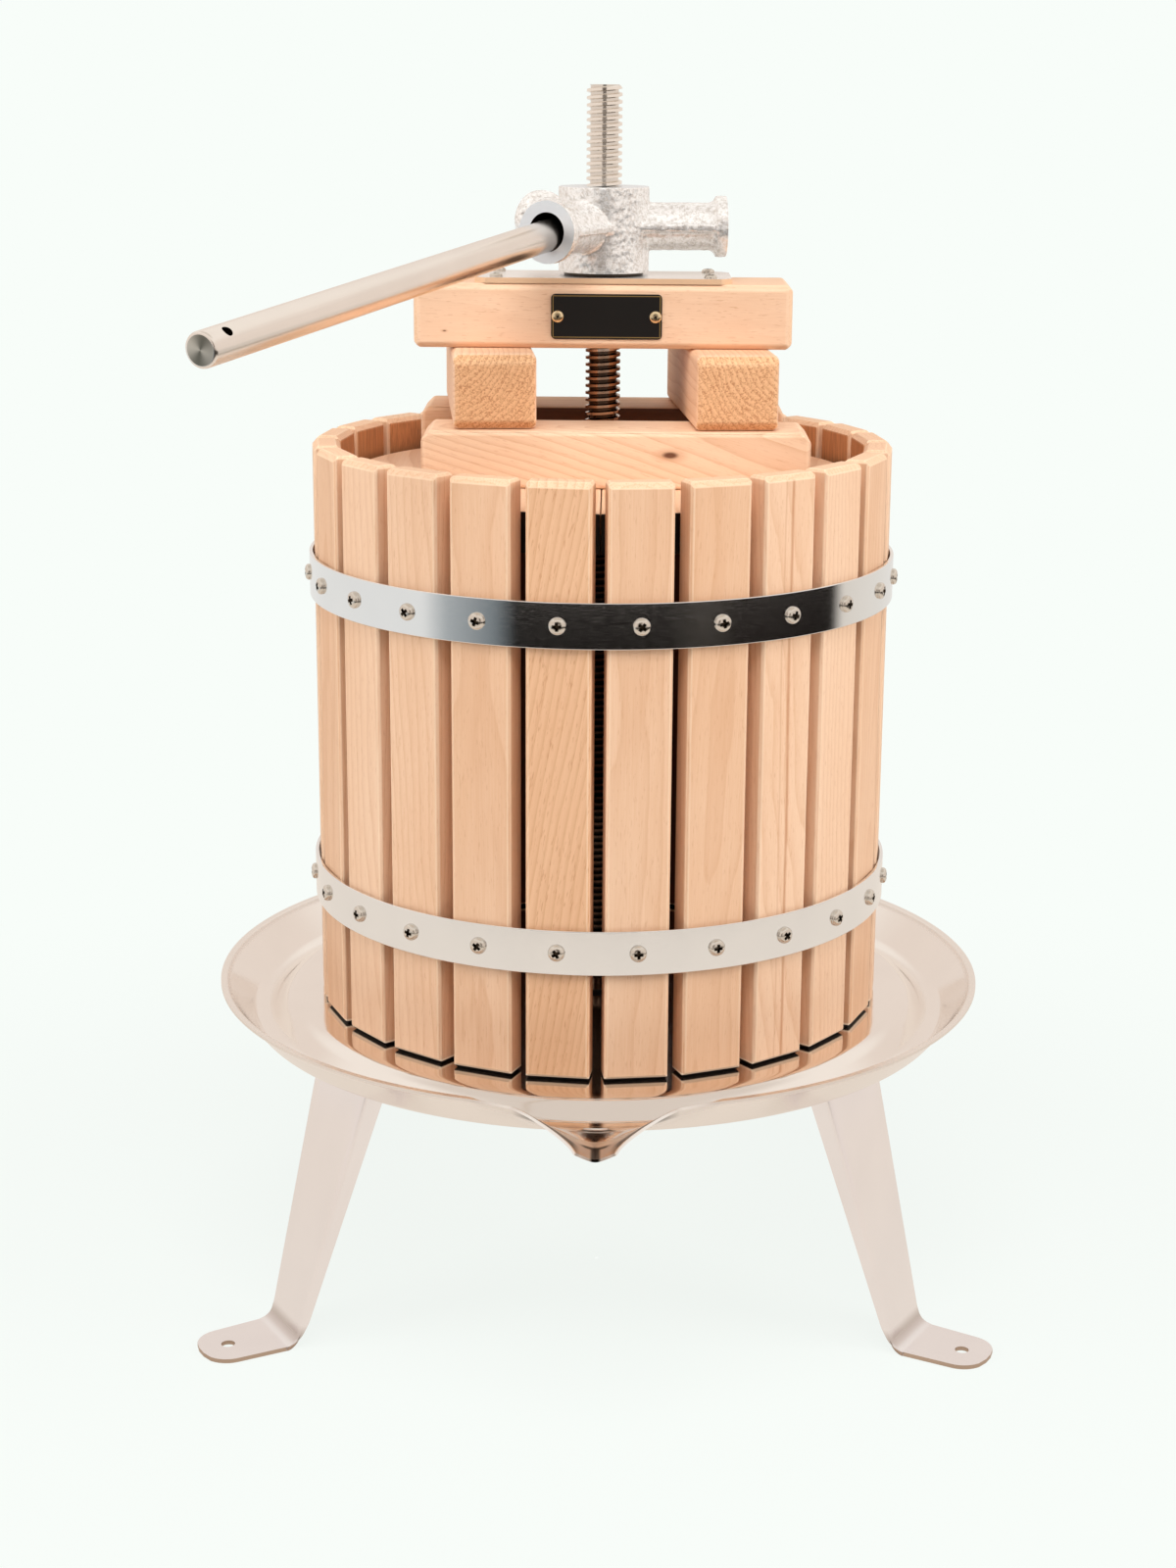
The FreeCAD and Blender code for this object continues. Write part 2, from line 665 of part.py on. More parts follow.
def make_stack():
    """Disc halves, battens, blocks and crossbeam, stacked from the disc up."""
    save("disc_left", half_disc(-1))
    save("disc_right", half_disc(1))
    batten = board(BATTEN_LENGTH, BATTEN_WIDTH, BATTEN_THICK, BATTEN_EDGE, BATTEN_END_EDGE)
    places = (("front_batten", FRONT_BATTEN_X, FRONT_BATTEN_Y), ("rear_batten", 0.0, REAR_BATTEN_Y))
    for name, x, y in places:
        piece = batten.copy()
        piece.translate(Vector(x, y, DISC_TOP))
        save(name, piece)
    block = board(BLOCK_LENGTH, BLOCK_WIDTH, BLOCK_HEIGHT, BLOCK_EDGE, BLOCK_END_EDGE)
    block.rotate(Vector(), AXIS_Z, 90 + BLOCK_YAW)
    for name, x in (("left_block", LEFT_BLOCK_X), ("right_block", RIGHT_BLOCK_X)):
        piece = block.copy()
        piece.translate(Vector(x, BLOCK_Y, BATTEN_TOP))
        save(name, piece)
    save("crossbeam", crossbeam())


BEARING_SCREW_X = BEARING_LENGTH / 2 - BEARING_SCREW_INSET_X
BEARING_SCREW_Y = BEARING_DEPTH / 2 - BEARING_SCREW_INSET_Y
BEARING_SCREWS = [(x * BEARING_SCREW_X, y * BEARING_SCREW_Y) for x in (-1, 1) for y in (-1, 1)]
NAMEPLATE_Z = BEAM_TOP - BEAM_HEIGHT / 2
NAME_SCREW_X = NAMEPLATE_LENGTH / 2 - NAME_SCREW_INSET


def name_screw(side):
    """Head of the nameplate's left or right screw."""
    head = screw_head(NAME_SCREW_D, NAME_SCREW_H)
    head.rotate(Vector(), Vector(1, 0, 0), 90)
    front = -BEAM_DEPTH / 2 - NAMEPLATE_THICK
    head.translate(Vector(NAMEPLATE_X + side * NAME_SCREW_X, front, NAMEPLATE_Z))
    return head


def crossbeam():
    """Beam that the hub presses on, with the spindle's hole."""
    beam = board(BEAM_LENGTH, BEAM_DEPTH, BEAM_HEIGHT, BEAM_EDGE, BEAM_EDGE)
    beam.translate(Vector(0, 0, BLOCK_TOP))
    return beam.cut(Part.makeCylinder(WOOD_HOLE_R, BEAM_HEIGHT + 2, Vector(0, 0, BLOCK_TOP - 1)))


def make_fittings():
    """Bearing plate, nameplate, their screws and the thrust washer."""
    plan = outline(beveled(BEARING_LENGTH / 2, BEARING_DEPTH / 2, BEARING_CLIP))
    plate = prism_up(plan, BEAM_TOP, BEARING_TOP)
    plate = plate.cut(Part.makeCylinder(HOLE_R, BEARING_THICK + 2, Vector(0, 0, BEAM_TOP - 1)))
    save("bearing_plate", plate)
    screws = []
    for x, y in BEARING_SCREWS:
        head = screw_head(BEARING_SCREW_D, BEARING_SCREW_H)
        head.translate(Vector(x, y, BEARING_TOP))
        screws.append(head)
    save("bearing_plate_screws", screws)

    half, rise = NAMEPLATE_LENGTH / 2, NAMEPLATE_HEIGHT / 2
    corners = [(-half, -rise), (half, -rise), (half, rise), (-half, rise)]
    moved = [(x + NAMEPLATE_X, z + NAMEPLATE_Z) for x, z in corners]
    front = -BEAM_DEPTH / 2
    label = prism_side(outline(moved, [NAMEPLATE_CORNER] * 4), front - NAMEPLATE_THICK, front)
    save("nameplate", label)
    save("nameplate_screws", [name_screw(side) for side in (-1, 1)])
    save("thrust_washer", washer(HOLE_R, THRUST_WASHER_D / 2, BEARING_TOP, HUB_BOTTOM))


make_stack()
make_fittings()


# Cast hub and its handle
SOCKET_AZIMUTHS = [SOCKET_FIRST + i * 360 / SOCKET_COUNT for i in range(SOCKET_COUNT)]


def along_x(shape):
    """Shape turned about Z laid along +X at the height of the sockets."""
    copy = shape.copy()
    copy.rotate(Vector(), Vector(0, 1, 0), 90)
    copy.translate(Vector(0, 0, SOCKET_Z))
    return copy


def hub():
    """Cast hub: a barrel on the thread with three flanged sockets and their ribs."""
    low, high = HUB_BOTTOM, HUB_BOTTOM + HUB_HEIGHT
    r = HUB_D / 2
    thread = SPINDLE_D / 2 + SLIDE_FIT
    edge = HUB_EDGE
    barrel = turned([
        (0, low),
        (r - edge, low),
        (r, low + edge),
        (r, high - edge),
        (r - edge, high),
        (0, high),
    ])
    root = (thread + r) / 2
    flange_start = SOCKET_REACH - FLANGE_WIDTH
    tube = Part.makeCylinder(SOCKET_OUTER_D / 2, SOCKET_REACH - root, Vector(0, 0, root))
    flange = Part.makeCylinder(FLANGE_D / 2, FLANGE_WIDTH, Vector(0, 0, flange_start))
    socket = along_x(tube.fuse(flange))
    half = RIB_WIDTH / 2
    rib_low = SOCKET_Z - RIB_THICK / 2
    rib = box(root, SOCKET_REACH - FLANGE_WIDTH / 2, -half, half, rib_low, rib_low + RIB_THICK)
    bore_length = SOCKET_REACH + 1 - SOCKET_FLOOR_R
    bore = Part.makeCylinder(SOCKET_BORE_D / 2, bore_length, Vector(0, 0, SOCKET_FLOOR_R))
    hollow = along_x(bore)
    solid = barrel
    for azimuth in SOCKET_AZIMUTHS:
        solid = solid.fuse(placed(socket.fuse(rib), azimuth))
    for azimuth in SOCKET_AZIMUTHS:
        solid = solid.cut(placed(hollow, azimuth))
    return solid.cut(Part.makeCylinder(thread, HUB_HEIGHT + 2, Vector(0, 0, low - 1)))


def handle():
    """Bar that lies in one socket and droops by the play it has there."""
    r = HANDLE_D / 2
    play = SOCKET_BORE_D / 2 - HANDLE_PLAY - r
    droop = math.atan2(2 * play, SOCKET_REACH - SOCKET_FLOOR_R)
    start = SOCKET_FLOOR_R + HANDLE_SEAT + r * math.sin(droop)
    engaged = SOCKET_REACH - start
    bevel = HANDLE_BEVEL
    corners = [
        (0, 0),
        (r - bevel, 0),
        (r, bevel),
        (r, HANDLE_LENGTH - bevel),
        (r - bevel, HANDLE_LENGTH),
        (0, HANDLE_LENGTH),
    ]
    bar = turned(corners)
    hole_start = Vector(0, -2 * r, HANDLE_LENGTH - CROSS_HOLE_INSET)
    hole = Part.makeCylinder(CROSS_HOLE_D / 2, 4 * r, hole_start, Vector(0, 1, 0))
    hole.rotate(Vector(), AXIS_Z, CROSS_HOLE_TURN)
    bar = bar.cut(hole)
    bar.rotate(Vector(), Vector(0, 1, 0), 90)
    bar.translate(Vector(-engaged / 2, 0, 0))
    bar.rotate(Vector(), Vector(0, 1, 0), math.degrees(droop))
    bar.translate(Vector(start + engaged / 2, 0, SOCKET_Z))
    return placed(bar, SOCKET_AZIMUTHS[HANDLE_SOCKET])


save("hub", hub())
save("handle", handle())
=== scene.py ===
# A slatted fruit press with a bar handle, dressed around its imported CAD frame.
# Lengths are in millimetres until a form becomes a piece, and in metres from then on.

import logging
import math
from dataclasses import dataclass, field
from enum import Enum
from typing import Iterable, Sequence

import bmesh
import bpy
from mathutils import Matrix, Vector, noise


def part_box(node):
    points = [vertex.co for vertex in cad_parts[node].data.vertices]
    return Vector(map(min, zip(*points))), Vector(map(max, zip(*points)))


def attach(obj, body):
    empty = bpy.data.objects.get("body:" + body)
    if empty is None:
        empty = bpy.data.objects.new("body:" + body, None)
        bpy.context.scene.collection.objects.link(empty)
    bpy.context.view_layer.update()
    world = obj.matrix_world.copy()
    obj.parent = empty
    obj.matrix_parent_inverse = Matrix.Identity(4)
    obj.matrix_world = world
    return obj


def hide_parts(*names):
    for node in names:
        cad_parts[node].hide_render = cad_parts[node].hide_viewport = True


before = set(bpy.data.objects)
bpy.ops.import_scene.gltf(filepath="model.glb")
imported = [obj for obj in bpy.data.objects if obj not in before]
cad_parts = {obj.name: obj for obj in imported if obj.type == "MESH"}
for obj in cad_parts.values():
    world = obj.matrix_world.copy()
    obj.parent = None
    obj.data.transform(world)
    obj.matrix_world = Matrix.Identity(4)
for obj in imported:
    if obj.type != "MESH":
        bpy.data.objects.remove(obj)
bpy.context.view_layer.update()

LOG = logging.getLogger("fruit_press")
MM = 0.001
AXIS_X = Vector((1, 0, 0))
AXIS_Y = Vector((0, 1, 0))
AXIS_Z = Vector((0, 0, 1))

Colour = tuple[float, float, float, float]
Point = tuple[float, float]


class Body(str, Enum):
    """The bodies of the press that pieces ride on."""

    BASE = "base"
    STACK = "press_stack"
    HUB = "hub"
    HANDLE = "handle"


class Surface(Enum):
    """How a steel surface was worked."""

    POLISHED = "polished sheet"
    BRUSHED = "brushed along its length"
    PLATED = "plated band"
    CAST = "rough casting under plating"
    TURNED = "turned on a lathe"
    FACED_END = "faced off across its end"


def srgb(red: int, green: int, blue: int) -> Colour:
    """Colour written in 8-bit display values, as linear light.

    Args:
        red: Red from 0 to 255.
        green: Green from 0 to 255.
        blue: Blue from 0 to 255.

    Returns:
        Linear red, green, blue and an alpha of 1.
    """
    parts = [value / 255 for value in (red, green, blue)]
    linear = [p / 12.92 if p <= 0.04045 else ((p + 0.055) / 1.055) ** 2.4 for p in parts]
    return (linear[0], linear[1], linear[2], 1.0)


# Shader maths
class Wire:
    """A shader socket whose arithmetic adds Math nodes."""

    def __init__(self, tree: "Tree", socket: bpy.types.NodeSocket) -> None:
        """Keeps the socket and the tree that it is in."""
        self.tree = tree
        self.socket = socket

    def maths(self, operation: str, *values: "Wire | float") -> "Wire":
        """Adds one Math node.

        Args:
            operation: The node's operation.
            values: What goes into its sockets, in order.

        Returns:
            The node's result.
        """
        return self.tree.node("Math", {"operation": operation}, dict(enumerate(values)))

    def __add__(self, other: "Wire | float") -> "Wire":
        """Sum."""
        return self.maths("ADD", self, other)

    def __sub__(self, other: "Wire | float") -> "Wire":
        """Difference."""
        return self.maths("SUBTRACT", self, other)

    def __rsub__(self, other: "Wire | float") -> "Wire":
        """Difference from a number on the left."""
        return self.maths("SUBTRACT", other, self)

    def __mul__(self, other: "Wire | float") -> "Wire":
        """Product."""
        return self.maths("MULTIPLY", self, other)

    def __truediv__(self, other: "Wire | float") -> "Wire":
        """Quotient."""
        return self.maths("DIVIDE", self, other)

    def __pow__(self, other: "Wire | float") -> "Wire":
        """Power."""
        return self.maths("POWER", self, other)

    def __abs__(self) -> "Wire":
        """Size without its sign."""
        return self.maths("ABSOLUTE", self)

    __radd__ = __add__
    __rmul__ = __mul__

    def fraction(self) -> "Wire":
        """What is left after the whole number."""
        return self.maths("FRACT", self)

    def least(self, other: "Wire | float") -> "Wire":
        """The smaller of two values."""
        return self.maths("MINIMUM", self, other)

    def most(self, other: "Wire | float") -> "Wire":
        """The larger of two values."""
        return self.maths("MAXIMUM", self, other)

    def step(self, low: float, high: float) -> "Wire":
        """Soft step from 0 at low to 1 at high, where low may be the larger.

        Args:
            low: Value that gives 0.
            high: Value that gives 1.

        Returns:
            The stepped value.
        """
        flip = low > high
        edges = {1: min(low, high), 2: max(low, high), 3: float(flip), 4: float(not flip)}
        return self.tree.node("MapRange", {"interpolation_type": "SMOOTHSTEP"}, {0: self, **edges})

    def bell(self, middle: float, half: float) -> "Wire":
        """Soft bump that is 1 at a value and 0 at half a width from it."""
        return abs(self - middle).step(half, 0.0)


class Tree:
    """The node tree of a material or of the world."""

    def __init__(self, owner: bpy.types.Material | bpy.types.World) -> None:
        """Empties the owner's tree."""
        owner.use_nodes = True
        self.tree = owner.node_tree
        self.tree.nodes.clear()

    def node(
        self,
        kind: str,
        settings: dict[str, object] | None = None,
        sockets: dict[object, object] | None = None,
        output: int | str = 0,
    ) -> Wire:
        """Adds any node.

        Args:
            kind: The node's type without its ShaderNode.
            settings: What is set on the node first; stops are a ramp's places and colours.
            sockets: Values or wires of its inputs, by place or by name.
            output: Which output to go on with, by place or by name.

        Returns:
            The chosen output.
        """
        made = self.tree.nodes.new("ShaderNode" + kind)
        for name, value in (settings or {}).items():
            if name == "stops":
                ramp = made.color_ramp.elements
                while len(ramp) < len(value):
                    ramp.new(0.5)
                for stop, (place, colour) in zip(ramp, value):
                    stop.position, stop.color = place, colour
            else:
                setattr(made, name, value)
        for key, value in (sockets or {}).items():
            socket = made.inputs[key]
            if isinstance(value, Wire):
                self.tree.links.new(value.socket, socket)
            else:
                socket.default_value = value
        return Wire(self, made.outputs[output] if len(made.outputs) else None)

    def mix(self, share: Wire | float, first: object, second: object) -> Wire:
        """Mixes two colours.

        Args:
            share: How much of the second.
            first: Colour or wire.
            second: Colour or wire.

        Returns:
            The mixed colour.
        """
        return self.node("Mix", {"data_type": "RGBA"}, {0: share, 6: first, 7: second}, 2)

    def tinted(self, colour: object, value: Wire) -> Wire:
        """Colour made lighter or darker by a value."""
        grey = self.node("CombineXYZ", None, {0: value, 1: value, 2: value})
        settings = {"data_type": "RGBA", "blend_type": "MULTIPLY"}
        return self.node("Mix", settings, {0: 1.0, 6: colour, 7: grey}, 2)

    def stretched(self, vector: Wire, scale: Sequence[float]) -> Wire:
        """Vector with each part times its own number."""
        return self.node("VectorMath", {"operation": "MULTIPLY"}, {0: vector, 1: scale})

    def speckle(self, vector: Wire, scale: float, detail: float = 2.0, rough: float = 0.5) -> Wire:
        """Noise from 0 to 1.

        Args:
            vector: Where it is read.
            scale: Its fineness.
            detail: How many finer layers it has.
            rough: How strong the finer layers are.

        Returns:
            The noise's value.
        """
        sockets = {"Vector": vector, "Scale": scale, "Detail": detail, "Roughness": rough}
        return self.node("TexNoise", None, sockets)

    def stored(self, name: str, output: str = "Fac") -> Wire:
        """Value kept on the mesh under a name."""
        return self.node("Attribute", {"attribute_name": name}, None, output)

    def split(self, vector: Wire) -> tuple[Wire, Wire, Wire]:
        """The three parts of a vector."""
        made = self.tree.nodes.new("ShaderNodeSeparateXYZ")
        self.tree.links.new(vector.socket, made.inputs[0])
        return Wire(self, made.outputs[0]), Wire(self, made.outputs[1]), Wire(self, made.outputs[2])

    def place(self) -> Wire:
        """Place on the press in millimetres."""
        metres = self.node("TexCoord", None, None, "Object")
        return self.node("VectorMath", {"operation": "SCALE"}, {0: metres, "Scale": 1000.0})

    def bump(self, height: Wire, distance: float, strength: float = 1.0) -> Wire:
        """Normal raised by a height.

        Args:
            height: From 0 to 1.
            distance: What a height of 1 rises, in millimetres.
            strength: Share of it that is used.

        Returns:
            The changed normal.
        """
        sockets = {"Height": height, "Distance": distance * MM, "Strength": strength}
        return self.node("Bump", None, sockets)

    def principled(self, sockets: dict[object, object]) -> None:
        """Ends the tree in one Principled shader."""
        shader = self.node("BsdfPrincipled", None, sockets)
        self.node("OutputMaterial", None, {"Surface": shader})


# Colours and heights that several finishes paint with
# Painted highlight for softened wooden edges.
EDGE_HIGHLIGHT = srgb(255, 230, 200)
KNOT_HEART = srgb(84, 42, 24)
KNOT_SQUASH = 2.4
DARK_RIM = srgb(20, 10, 6)
# Painted light on the staves' lower bevel, and a painted shadow line where they stand on the tray.
FOOT_LIT, FOOT_SHADOW = srgb(255, 232, 208), srgb(14, 8, 5)
FOOT_LIT_HEIGHTS: Point = (187.2, 186.2)
FOOT_SHADOW_HEIGHTS: Point = (185.9, 185.5)
# Painted shade for the thread, under the beam and in its valleys.
UNDER_BEAM_SHADE, THREAD_VALLEY_SHADE = srgb(150, 112, 84), srgb(30, 20, 15)
BEND_SHADE = srgb(150, 130, 114)
# Painted reflections and highlight on the tray's spout.
SPOUT_WOOD_REFLECTION, SPOUT_TIP_REFLECTION = srgb(150, 104, 72), srgb(14, 7, 5)
SPOUT_EDGE_REFLECTION, SPOUT_EDGE_HIGHLIGHT = srgb(20, 14, 10), srgb(255, 253, 250)
TRAY_LIP: Point = (220.5, 222.5)


# Finishes
@dataclass(frozen=True)
class Finish:
    """A finish that makes its own material."""

    name: str

    def paint(self, tree: Tree) -> None:
        """Fills the material's tree."""
        raise NotImplementedError

    def material(self) -> bpy.types.Material:
        """The finish's material, made when it is first asked for."""
        found = bpy.data.materials.get(self.name)
        if found is None:
            found = bpy.data.materials.new(self.name)
            self.paint(Tree(found))
        return found


@dataclass(frozen=True)
class Beech(Finish):
    """Planed steamed beech, read along each board's own grain."""

    light: Colour = srgb(243, 206, 175)
    dark: Colour = srgb(226, 178, 140)
    late_wood: Colour = srgb(206, 150, 108)
    ray: Colour = srgb(190, 128, 88)
    end: Colour = srgb(240, 200, 166)
    pore: Colour = srgb(206, 150, 108)
    shade_colour: Colour = srgb(205, 140, 92)
    deep_shade_colour: Colour = srgb(112, 60, 34)
    pores: float = 0.3
    ring_width: float = 3.4
    ring_share: float = 0.35
    fleck_share: float = 0.25
    edge_highlight: float = 0.3
    shade_heights: Point = (470.0, 500.0)
    shade_half_width: float | None = None
    dark_rim_radius: float | None = None
    streaks: tuple[tuple[float, float, float], ...] = ()
    knots: tuple[tuple[float, float, float, float], ...] = ()

    def paint(self, tree: Tree) -> None:
        """Fills the material's tree."""
        grain = tree.stored("grain", "Vector")
        board = tree.stored("board")
        across, deep, _ = tree.split(grain)
        sway = tree.speckle(tree.stretched(grain, (0.02, 0.02, 0.005)), 1.0) - 0.5
        ripple = tree.speckle(tree.stretched(grain, (0.12, 0.12, 0.012)), 1.0) - 0.5
        pith = (across * across + deep * deep) ** 0.5 + sway * 14 + ripple * 2.4
        year = (pith / self.ring_width).fraction()
        late = year**3.0 * year.step(1.0, 0.93)
        fibre = tree.speckle(tree.stretched(grain, (1.5, 1.5, 0.03)), 1.0, 3.0, 0.6)
        cloud = tree.speckle(tree.stretched(grain, (0.03, 0.03, 0.006)), 1.0)
        dash = tree.speckle(tree.stretched(grain, (1.3, 1.3, 0.16)), 1.0, 2.0, 0.55)
        fleck = dash.step(0.58, 0.72)
        edge = tree.stored("arris")
        end = tree.stored("end_grain")

        tone = (fibre * 0.55 + cloud * 0.5 + board * 0.35 - 0.2).step(0.0, 1.0)
        colour = tree.mix(tone, self.light, self.dark)
        colour = tree.mix(late * self.ring_share, colour, self.late_wood)
        colour = tree.mix(fleck * self.fleck_share, colour, self.ray)
        for middle, half, share in self.streaks:
            band = (tree.stored("across") + sway * 5).bell(middle, half) * share
            colour = tree.mix(band * (fibre * 0.8 + 0.5), colour, self.ray)
        for x, y, z, size in self.knots:
            flat = tree.stretched(tree.place(), (1.0, 1.0, KNOT_SQUASH))
            spot = (x, y, z * KNOT_SQUASH)
            away = tree.node("VectorMath", {"operation": "DISTANCE"}, {0: flat, 1: spot}, 1)
            halo = (away + ripple * 4).step(size * 2.2, size * 0.6) * 0.45
            heart = (away + ripple * 3).step(size, size * 0.4) * 0.9
            colour = tree.mix(halo, colour, self.ray)
            colour = tree.mix(heart, colour, KNOT_HEART)
        dots = tree.speckle(tree.stretched(grain, (1.0, 1.0, 0.05)), 1.1, 2.0, 0.6).step(0.5, 0.62)
        cross = tree.mix(late * self.ring_share, self.end, self.pore)
        cross = tree.mix(dots * self.pores, cross, self.pore)
        colour = tree.mix(end, colour, cross)
        # Painted highlight: the softened edges are painted lighter, as if they catch the light.
        colour = tree.mix(edge * self.edge_highlight, colour, EDGE_HIGHLIGHT)
        x, y, tall = tree.split(tree.place())
        # Painted shade on the faces that look the way given to board(): the basket's inner faces,
        # darker low down, and the rear batten's front between the blocks.
        depth = tall.step(self.shade_heights[1], self.shade_heights[0])
        shade_colour = tree.mix(depth, self.shade_colour, self.deep_shade_colour)
        shade_colour = tree.mix(fibre.step(0.35, 0.7) * 0.5, shade_colour, self.deep_shade_colour)
        shade_share = tree.stored("stained") * 0.9
        if self.shade_half_width:
            shade_share = shade_share * abs(x).step(self.shade_half_width + 8, self.shade_half_width)
        colour = tree.mix(shade_share, colour, shade_colour)
        # The disc's edge is painted near black from the given radius out.
        if self.dark_rim_radius:
            radius = (x * x + y * y) ** 0.5
            rim = radius.step(self.dark_rim_radius, self.dark_rim_radius + 0.6)
            colour = tree.mix(rim, colour, DARK_RIM)
        # Painted light on the lower bevel, then a painted shadow line where the stave meets the
        # tray.
        colour = tree.mix(tall.step(*FOOT_LIT_HEIGHTS), colour, FOOT_LIT)
        colour = tree.mix(tall.step(*FOOT_SHADOW_HEIGHTS), colour, FOOT_SHADOW)
        height = fibre * 0.5 + dash * 0.3 + late * 0.3
        tree.principled({
            "Base Color": colour,
            "Roughness": fibre * 0.15 + 0.5,
            "Specular IOR Level": 0.35,
            "Normal": tree.bump(height, 0.12, 0.6),
        })


@dataclass(frozen=True)
class Steel(Finish):
    """Bright steel, worked in one of several ways."""

    colour: Colour
    dark: Colour
    rough: float
    worked: Surface = Surface.POLISHED
    metal: float = 1.0
    lined: bool = False
    shaded_bend: bool = False
    shaded_below: Point | None = None
    side: Colour | None = None

    def paint(self, tree: Tree) -> None:
        """Fills the material's tree."""
        place = tree.place()
        cloud = tree.speckle(place, 0.03, 3.0)
        if self.worked is Surface.CAST:
            coarse = tree.speckle(place, 0.45, 4.0, 0.65)
            fine = tree.speckle(place, 1.4, 2.0, 0.6)
            shade = (coarse * 0.6 + fine * 0.4).step(0.4, 0.55)
            height, depth = coarse * 0.75 + fine * 0.25, 0.3
            rough = fine * 0.2 + self.rough
        elif self.worked is Surface.BRUSHED:
            drawn = tree.stretched(tree.stored("grain", "Vector"), (2.2, 2.2, 0.02))
            line = tree.speckle(drawn, 1.0, 3.0, 0.6)
            shade = cloud * 0.5 + line * 0.5
            height, depth = line, 0.02
            rough = line * 0.15 + self.rough
        elif self.worked is Surface.PLATED:
            scuff = tree.speckle(tree.stretched(place, (0.25, 0.25, 2.5)), 1.0, 3.0, 0.6)
            shade = cloud * 0.7 + scuff * 0.3
            height, depth = scuff, 0.015
            rough = scuff * 0.12 + self.rough
        elif self.worked is Surface.TURNED:
            line = tree.speckle(tree.stretched(place, (0.1, 0.1, 5.0)), 1.0, 2.0)
            shade = cloud * 0.6 + line * 0.4
            height, depth = line, 0.01
            rough = line * 0.1 + self.rough
        elif self.worked is Surface.FACED_END:
            # Painted highlight: two light and two dark wedges round the faced end stand in for its
            # sheen.
            across, deep, _ = tree.split(tree.stored("grain", "Vector"))
            turn = tree.node("Math", {"operation": "ARCTAN2"}, {0: across, 1: deep}) * 2 + 0.9
            shade = turn.maths("SINE", turn) * 0.5 + 0.5
            height, depth = cloud, 0.01
            rough = cloud * 0.1 + self.rough
        else:
            scuff = tree.speckle(place, 0.6, 4.0, 0.6)
            shade = cloud * 0.8 + scuff * 0.2
            height, depth = scuff, 0.008
            rough = cloud * 0.06 + scuff * 0.05 + self.rough
        colour = tree.mix(shade, self.dark, self.colour)
        x, y, tall = tree.split(place)
        radius = (x * x + y * y) ** 0.5
        metal: Wire | float = self.metal
        if self.shaded_below:
            # Painted shade: the thread darkens below the given heights, under the beam and in the
            # basket, and in its valleys.
            under_beam = tall.step(self.shaded_below[1], self.shaded_below[0])
            valley_shade = radius.step(9.3, 8.2) * (under_beam * 0.72 + 0.16)
            colour = tree.mix(under_beam * 0.9, colour, UNDER_BEAM_SHADE)
            colour = tree.mix(valley_shade, colour, THREAD_VALLEY_SHADE)
        if self.shaded_bend:
            # Painted shade across the leg near its foot bend.
            colour = tree.mix(tall.bell(7.5, 7.0) * 0.45, colour, BEND_SHADE)
        # Painted reflection: upright faces take the given tan and less metal, as if mirroring the
        # wood.
        if self.side:
            facing = tree.split(tree.node("TexCoord", None, None, "Normal"))
            upright = abs(facing[2]).step(0.5, 0.1)
            colour = tree.mix(upright, colour, self.side)
            metal = upright * -0.6 + self.metal
        # The tray's spout carries painted reflections and a painted highlight.
        if self.lined:
            rough = rough + radius.step(*TRAY_LIP) * 0.25
            colour = self.spout_lines(tree, colour, x, y)
        tree.principled({
            "Base Color": colour,
            "Metallic": metal,
            "Roughness": rough,
            "Normal": tree.bump(height, depth, 0.7),
        })

    def spout_lines(self, tree: Tree, colour: Wire, x: Wire, y: Wire) -> Wire:
        """Paints what the spout's bends mirror in the photograph.

        Args:
            tree: The material's tree.
            colour: The steel's colour so far.
            x: Place across the spout.
            y: Place along the spout, which is negative.

        Returns:
            The colour with painted reflections, a brown floor, a dark patch at the tip and a dark
            line along the edge, and a painted highlight along the edge.
        """
        inset, side = tree.stored("inset"), abs(x)
        band = inset.step(0.8, 1.6) * inset.step(9.0, 5.0) * 0.85
        layers = (
            (side.step(17, 8) * y.step(-227, -233) * 0.35, SPOUT_WOOD_REFLECTION),
            (side.step(3.4, 1.4) * y.step(-229, -232), SPOUT_TIP_REFLECTION),
            (side.step(9.0, 5.0) * y.bell(-231, 3.5), SPOUT_TIP_REFLECTION),
            (band * tree.stored("spout_line"), SPOUT_EDGE_REFLECTION),
            (inset.step(0.9, 0.4) * side.step(46, 36), SPOUT_EDGE_HIGHLIGHT),
        )
        for share, tint in layers:
            colour = tree.mix(share, colour, tint)
        return colour


@dataclass(frozen=True)
class Enamel(Finish):
    """Black enamel with a thin bright line inside its edge."""

    middle: tuple[float, float]
    half: tuple[float, float]
    inset: float = 1.1
    width: float = 0.35
    ground: Colour = srgb(13, 11, 10)
    line: Colour = srgb(196, 164, 104)

    def paint(self, tree: Tree) -> None:
        """Fills the material's tree."""
        place = tree.place()
        x, _, z = tree.split(place)
        from_side = self.half[0] - abs(x - self.middle[0])
        from_top = self.half[1] - abs(z - self.middle[1])
        border = from_side.least(from_top)
        line = border.bell(self.inset, self.width)
        scuff = tree.speckle(place, 0.8, 4.0, 0.6)
        tree.principled({
            "Base Color": tree.mix(line, tree.tinted(self.ground, scuff * 0.8 + 0.6), self.line),
            "Metallic": line * 0.9,
            "Roughness": scuff * 0.15 + 0.28,
            "Normal": tree.bump(line * 0.5 + scuff * 0.3, 0.03, 0.6),
        })


@dataclass(frozen=True)
class Rubber(Finish):
    """Dull black rubber."""

    colour: Colour = srgb(24, 23, 23)

    def paint(self, tree: Tree) -> None:
        """Fills the material's tree."""
        grit = tree.speckle(tree.place(), 1.6, 3.0)
        tree.principled({
            "Base Color": tree.tinted(self.colour, grit * 0.6 + 0.7),
            "Roughness": grit * 0.2 + 0.6,
            "Normal": tree.bump(grit, 0.05, 0.5),
        })


